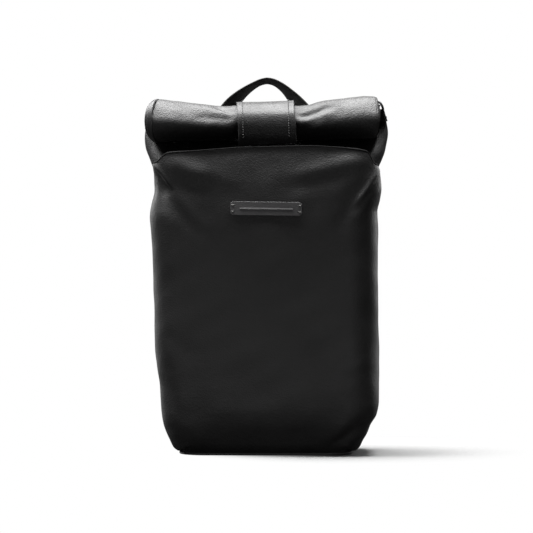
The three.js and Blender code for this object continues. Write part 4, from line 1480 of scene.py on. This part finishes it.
def strap_tab(side_name, side, z, cover):
    """Webbing sewn down the middle of the strap's lower half, whose end goes round the ladder lock's bar."""
    body = f"shoulder_strap_{side_name}"
    low = z[(z > 147) & (z < 262)]
    run = laid_on(cover, strap_line(side, low)[::-1] + BACKWARD, 0.9)
    end = [(94, 92.9, 133), (94, 92.8, 122), (94, 92.6, 115.5), (94, 91.6, 111.6), (94, 89.4, 110),
           (94, 86.8, 111.4), (94, 86, 116), (94, 86.4, 126), (93.4, 88, 138), (92, 89.2, 146)]
    path = smooth_path(np.concatenate([run[::6], [(side * x, y, up) for x, y, up in end]]), 1.5)
    tab = webbing_band(f"strap_tab_{side_name}_webbing", path, (1, 0, 0))
    attach_across(tab, body, f"adjuster_{side_name}", "webbing", (94 * side, 89, 122), (94 * side, 89, 114),
                  f"strap_tab_{side_name}")
    bars = []
    for height in (142, 148, 200, 206, 255):
        ends = [strap_line(side, np.array([float(height)]))[0] + BACKWARD + (k, 0, 0) for k in (-10.5, 10.5)]
        bars.append(laid_on(tab, resample(ends, 2.0)[0], 0.05))
    seam(f"strap_tab_{side_name}_bar_tacks", bars, THREAD_GREY, body, "webbing", 1.8, 0.5)


def shoulder_strap(side_name, side):
    z = np.linspace(139, 376, 96)
    half_width = spline(z, STRAP_Z, STRAP_WIDTH) / 2
    padding = strap_padding(side_name, side, z, half_width)
    cover = strap_cover(side_name, side, z, half_width, padding)
    strap_tab(side_name, side, z, cover)
    # The strap's root: leather that comes out from under the patch and turns over into the strap.
    root = [(50, 67.9, 352), (50, 68.6, 366), (50, 70.8, 376), (50.2, 75, 380.5), (50.6, 79.5, 378),
            (51.2, 84.5, 369), (52, 89.5, 358)]
    path = smooth_path([(x * side, y, up) for x, y, up in root], 1.6)
    turn = band(f"strap_root_{side_name}", path, (1, 0, 0), 45, 2.2, STRAP_LEATHER, 21, 0.5)
    attach_across(turn, "bag", f"shoulder_strap_{side_name}", "leather",
                  (50 * side, 70.5, 374), (50 * side, 78.5, 374))


def ladder_lock(side_name, side):
    """The ladder lock, and the loose tail of webbing that hangs from it."""
    x0, y0, mid_z = 95 * side, 89.0, 104.0
    half_bar, rail_x = 13.5, 14.6
    body = f"adjuster_{side_name}"
    parts = []
    for sign in (-1, 1):
        zs = np.linspace(93.5, 114.5, 11)
        ys = y0 + 0.9 * np.cos((zs - mid_z) / 10.5 * math.pi / 2)
        parts.append(tube(np.stack([np.full(11, x0 + sign * rail_x), ys, zs], axis=1), 1.9, 12, up=(0, 1, 0)))
    for z, radius_y, radius_z, bow in ((113.7, 1.7, 2.2, 0.0), (104.2, 1.8, 2.3, 0.6), (94.4, 1.7, 2.2, 0.9)):
        xs = np.linspace(-half_bar, half_bar, 13)
        line = np.stack([x0 + xs, y0 + bow * (1 - (xs / half_bar) ** 2), np.full(13, z)], axis=1)
        parts.append(tube(line, radius_z, 12, squash=radius_y / radius_z, up=(0, 1, 0)))
    attach(joined(f"ladder_lock_{side_name}", parts, PLASTIC), body, "plastic", body)

    tail = [(86.0, 100.5), (86.4, 105.2), (88.0, 107.7), (90.6, 107.9), (92.6, 106), (93.2, 102), (93.3, 96),
            (93.6, 88), (94.4, 76), (94.2, 60), (92.8, 50), (92.0, 44)]
    path = smooth_path([(x0, y, z) for y, z in tail], 1.4)
    web = webbing_band(f"webbing_tail_{side_name}_webbing", path, (1, 0, 0))
    attach(web, body, "webbing", f"webbing_tail_{side_name}")
    hem = webbing_band(f"webbing_tail_{side_name}_hem", path[-10:] - np.array([0, 1.7, 0]), (1, 0, 0))
    attach(hem, body, "webbing")

    rise = [(101, 68.4, 27), (100.6, 69.4, 38), (99.4, 73.2, 54), (97.4, 79.2, 74), (96, 83.6, 90),
            (95, 84.9, 99), (95, 84.9, 104.5)]
    path = smooth_path([(x * side, y, z) for x, y, z in rise], 1.6)
    low = webbing_band(f"lower_webbing_{side_name}_webbing", path, (1, 0, 0))
    attach_across(low, "bag", f"shoulder_strap_{side_name}", "webbing",
                  (100 * side, 69, 36), (95 * side, 85, 100), f"lower_webbing_{side_name}")


def anchor(side_name, side):
    """The leather patch that holds the foot of the lower webbing."""
    x0, z0, half_w, half_h = 101 * side, 25.0, 18, 13
    corners = [(half_w, -half_h), (half_w, 1), (12.5, half_h)]
    outline = corners + [(-x, z) for x, z in reversed(corners)]
    bm = bmesh.new()
    rings = []
    for inset, y in ((0.0, 0.0), (0.0, 1.3), (0.8, 2.1)):
        narrow, low = 1 - inset / half_w, 1 - inset / half_h
        rings.append([bm.verts.new(metres((x0 + x * narrow, FACE_Y + y, z0 + z * low))) for x, z in outline])
    bridge(bm, rings[0], rings[1])
    bridge(bm, rings[1], rings[2])
    bm.faces.new(rings[2])
    bm.faces.new(rings[0][::-1])
    patch = bevelled(f"strap_anchor_{side_name}_leather", bm, STRAP_LEATHER, 0.4, 25)
    attach(patch, "bag", "leather", f"strap_anchor_{side_name}")
    line = [(x0 + x * 0.84, FACE_Y + 2.15, z0 + z * 0.78) for x, z in outline + outline[:1]]
    line = resample(line, 1.5)[0]
    seam(f"strap_anchor_{side_name}_stitches", [line], THREAD_GREY, "bag", "leather", 2.4, 1.1)


# ------------------------------------------------------------------ laptop zip
ZIP_X, ZIP_LOW, ZIP_TOP = -126.0, 92.0, 342.0


def laptop_zip():
    """The tape, a helix for the teeth, two rows of stitches and the slider."""
    path = smooth_path([(ZIP_X, 66.0, z) for z in np.linspace(ZIP_LOW, ZIP_TOP, 9)], 2.5)
    tape = webbing_band("laptop_zip_tape_webbing", path, (1, 0, 0), 14, 0.9, 15, WEB_FINE)
    attach(tape, "bag", "webbing", "laptop_zip_tape")
    pitch, inset = 1.9, 6
    turns = int((ZIP_TOP - ZIP_LOW - 2 * inset) / pitch)
    t = np.linspace(0, turns * 2 * math.pi, turns * 10)
    height = ZIP_LOW + inset + pitch * t / (2 * math.pi)
    helix = np.stack([ZIP_X + 2.2 * np.cos(t), 67.4 + 0.55 * np.sin(t), height], axis=1)
    coil = joined("laptop_zip_coil_teeth", [tube(helix, 0.36, 5)], COIL)
    attach(coil, "bag", "plastic", "laptop_zip_coil")
    lines = [resample([(ZIP_X + k, 66.5, ZIP_LOW + 3), (ZIP_X + k, 66.5, ZIP_TOP - 3)], 2.0)[0]
             for k in (-5.4, 5.4)]
    seam("laptop_zip_stitches", lines, THREAD_BLACK, "bag", "webbing", 3.2, 1.3)
    zip_slider("laptop_zip", (ZIP_X, 68.1, ZIP_TOP - 12), (0, 0, -1), (0, 1, 0))


# Sections of a zip's slider and of its pull: (place along it, half width, height).
SLIDER = [(-5.6, 2.2, 0.8), (-5.0, 3.0, 1.6), (-2.0, 3.9, 2.2), (1.0, 3.7, 2.3), (4.0, 2.9, 2.1),
          (5.4, 2.3, 1.4), (5.8, 1.6, 0.8)]
PULL = [(9.5, 0.8, 0.6), (10.0, 2.2, 1.1), (12.5, 3.1, 1.3), (18.0, 3.4, 1.1), (22.5, 3.4, 1.3),
        (25.5, 2.9, 1.1), (26.4, 1.4, 0.6)]


def boxy(value, power):
    """The value with its size raised to the power, its sign kept: it squares a circle's corners."""
    return math.copysign(abs(value) ** power, value)


def zip_slider(name, place, down, out):
    """A zip's slider and its pull: down is the way the pull hangs, out is away from the tape."""
    place, down, out = (np.array(v, float) for v in (place, down, out))
    side = np.cross(down, out)

    def at(a, d, o):
        return place + (side * a + down * d + out * o)

    turn = np.linspace(0, 2 * math.pi, 17)[:-1]
    section = [(boxy(math.cos(a), 0.6), 0.62 * boxy(math.sin(a), 0.6)) for a in turn]
    rings = [[at(half * a, d, 1.1 + height * o) for a, o in section] for d, half, height in SLIDER]
    arch = [at(0, d, o) for d, o in ((-3.6, 2.2), (-3.2, 3.5), (0, 4.1), (3.0, 3.5), (3.4, 2.2))]
    arch = tube(smooth_path(arch, 0.5), 0.75, 8, up=side)
    slider = joined(f"{name}_slider_body", [loft(rings), arch], DARK_METAL)
    attach(slider, f"{name}_slider", "dark_metal", f"{name}_slider")
    loop = [(0, 1.5, 3.4), (1.2, 2.6, 3.3), (1.6, 6, 3.6), (1.3, 10.5, 4.0), (0, 12.2, 4.1),
            (-1.3, 10.5, 4.0), (-1.6, 6, 3.6), (-1.2, 2.6, 3.3), (0, 1.5, 3.4)]
    cord = tube(smooth_path([at(*q) for q in loop], 0.5)[:-1], 0.62, 8, loop=True, up=out)
    turn = np.linspace(0, 2 * math.pi, 21)[:-1]
    section = [(boxy(math.cos(a), 0.7), math.sin(a)) for a in turn]
    rings = [[at(half * a, d, 4.1 + height * o) for a, o in section] for d, half, height in PULL]
    pull = joined(f"{name}_pull_grip", [cord, loft(rings)], PLASTIC)
    attach(pull, f"{name}_pull", "plastic", f"{name}_pull")


# A magnet's stitched cover from its edge to its middle: (radius, height).
MAGNET_COVER = [(8.4, 0.0), (8.4, 0.35), (7.9, 0.7), (6.9, 0.75), (6.2, 1.3), (5.0, 1.6), (2.5, 1.7),
                (0.4, 1.7)]


def magnet(node, body, place, out):
    out, side = np.array(out, float), np.array([1.0, 0, 0])
    up = np.cross(out, side)
    turn = np.linspace(0, 2 * math.pi, 41)[:-1]
    circle = np.cos(turn)[:, None] * side + np.sin(turn)[:, None] * up
    rings = [np.array(place) + out * lift + radius * circle for radius, lift in MAGNET_COVER]
    attach(joined(f"{node}_cover", [loft(rings)], EDGE_LEATHER), body, "magnet", node)


def magnets():
    """The closure magnets under round covers: one inside the strap's end, one on the body below it."""
    ply = MOUTH_PLY.reshape(-1, 3)
    near = ply[(np.abs(ply[:, 0]) < 3) & (np.abs(ply[:, 1] + 12) < 3)]
    magnet("strap_magnet", "closure_strap", (1.8, -9.6, 404.0), (0, 1, 0))
    magnet("keeper_magnet", "bag", (0, -12.0, near[:, 2].mean() - 0.2), (0, 0, 1))


def hook_loops():
    """The webbing loops on the roll's ends that the hooks hold."""
    for side, sign in (("left", -1), ("right", 1)):
        line = [(136, 441.2), (141, 441.0), (143.6, 442.0), (144.4, 444.3), (143.4, 446.6), (140.5, 447.2),
                (136, 447.0)]
        path = smooth_path([(sign * x, 30, z) for x, z in line], 0.8)
        loop = webbing_band(f"hook_loop_{side}_webbing", path, (0, 1, 0), 14, 0.9, 11, WEB_FINE)
        attach(loop, "roll", "webbing", f"hook_loop_{side}")


def back_side():
    lining()
    back_panel()
    yoke()
    pads()
    luggage_band()
    for side_name, side in (("left", -1), ("right", 1)):
        shoulder_strap(side_name, side)
        ladder_lock(side_name, side)
        anchor(side_name, side)
    laptop_zip()
    magnets()
    hook_loops()


back_side()


# ------------------------------------------------------------------ stage, light and camera
def floor_material():
    """Pure white to the camera, except near the bag, where it shows the shadow."""
    m = Nodes("floor_white", (0.9, 0.9, 0.9))
    m.finish((0.36, 0.36, 0.36), 0.9, Specular_IOR_Level=0.0)
    seen = m.node("ShaderNodeLightPath").outputs["Is Camera Ray"]
    glow = m.node("ShaderNodeEmission")
    glow.inputs["Color"].default_value = (1, 1, 1, 1)
    m.link(seen, glow.inputs["Strength"])
    middle = (0.12, 0.03, 0)
    away = m.vector_math("LENGTH", m.vector_math("SUBTRACT", m.coordinates, middle))
    shown = m.mix_shaders(m.ramp(away, 0.08, 0.235), m.shader.outputs[0], glow.outputs[0])
    # Light that bounces meets a dark floor, so none comes back up at the bag.
    dark = m.node("ShaderNodeBsdfDiffuse")
    dark.inputs["Color"].default_value = (0.03, 0.03, 0.03, 1)
    m.link(m.mix_shaders(seen, dark.outputs[0], shown), m.out.inputs[0])
    return m.material


def floor():
    half = 9.0
    mesh = bpy.data.meshes.new("floor")
    corners = [(-half, -half, 0), (half, -half, 0), (half, half, 0), (-half, half, 0)]
    mesh.from_pydata(corners, [], [(0, 1, 2, 3)])
    mesh.materials.append(floor_material())
    link_object("floor", mesh)


def world():
    """White where the camera sees it, and a faint even light on everything else."""
    studio = bpy.data.worlds.new("studio")
    bpy.context.scene.world = studio
    studio.use_nodes = True
    tree = studio.node_tree
    tree.nodes.clear()
    out = tree.nodes.new("ShaderNodeOutputWorld")
    background = tree.nodes.new("ShaderNodeBackground")
    path = tree.nodes.new("ShaderNodeLightPath")
    strength = tree.nodes.new("ShaderNodeMapRange")
    strength.inputs["To Min"].default_value = 0.078
    strength.inputs["To Max"].default_value = 1.0
    tree.links.new(path.outputs["Is Camera Ray"], strength.inputs["Value"])
    tree.links.new(strength.outputs["Result"], background.inputs["Strength"])
    background.inputs["Color"].default_value = (1, 1, 1, 1)
    tree.links.new(background.outputs[0], out.inputs[0])


def softbox(name, place, tilt_x, tilt_y, width, height, power):
    """A softbox at the place, in metres. The tilts are in degrees from pointing straight down."""
    light = bpy.data.lights.new(name, "AREA")
    light.shape = "RECTANGLE"
    light.size = width
    light.size_y = height
    light.energy = power
    obj = link_object(name, light)
    obj.location = place
    obj.visible_camera = False
    obj.rotation_euler = (math.radians(tilt_x), math.radians(tilt_y), 0)


def lights():
    softbox("overhead", (-0.34, 0.12, 1.45), 0, 0, 1.7, 0.85, 96)
    softbox("back_fill", (0.3, 2.2, 1.1), -65, 0, 1.6, 1.2, 12)
    softbox("front_fill", (-0.1, -0.6, 0.09), 90, 0, 1.2, 0.22, 0.78)
    softbox("right_fill", (1.6, 1.9, 0.9), -48, 68, 1.2, 1.0, 18)
    softbox("left_fill", (-1.6, 1.9, 0.9), -48, -68, 1.2, 1.0, 14)


def camera():
    """A long lens, two degrees above level; the picture is as wide as view_width at the bag."""
    distance, elevation, view_width, sensor = 5.2, math.radians(2.0), 0.677976, 36
    data = bpy.data.cameras.new("camera")
    obj = link_object("camera", data)
    aim = Vector((0.0013, -0.03, 0.2395))
    obj.location = aim + Vector((0, -math.cos(elevation), math.sin(elevation))) * distance
    obj.rotation_euler = (aim - obj.location).to_track_quat("-Z", "Y").to_euler()
    data.sensor_width = sensor
    data.lens = sensor * distance / view_width
    data.clip_end = 50
    bpy.context.scene.camera = obj


def carried_over_nodes():
    """Materials for the CAD nodes that keep their own shape."""
    looks = {"leather": BODY_LEATHER, "lining": LINING, "padding": MESH_FABRIC, "board": BOARD,
             "webbing": WEB_FINE, "plastic": PLASTIC, "dark_metal": DARK_METAL, "magnet": MAGNET,
             "nameplate": PLATE_LEATHER}
    for part in frame["record"]["subparts"]:
        mesh = frame["nodes"][part["node"]].data
        mesh.materials.clear()
        mesh.materials.append(looks[part["material_slot"]])


floor()
world()
lights()
camera()
carried_over_nodes()
bpy.context.scene.view_settings.view_transform = "Standard"
bpy.context.scene.view_settings.look = "None"
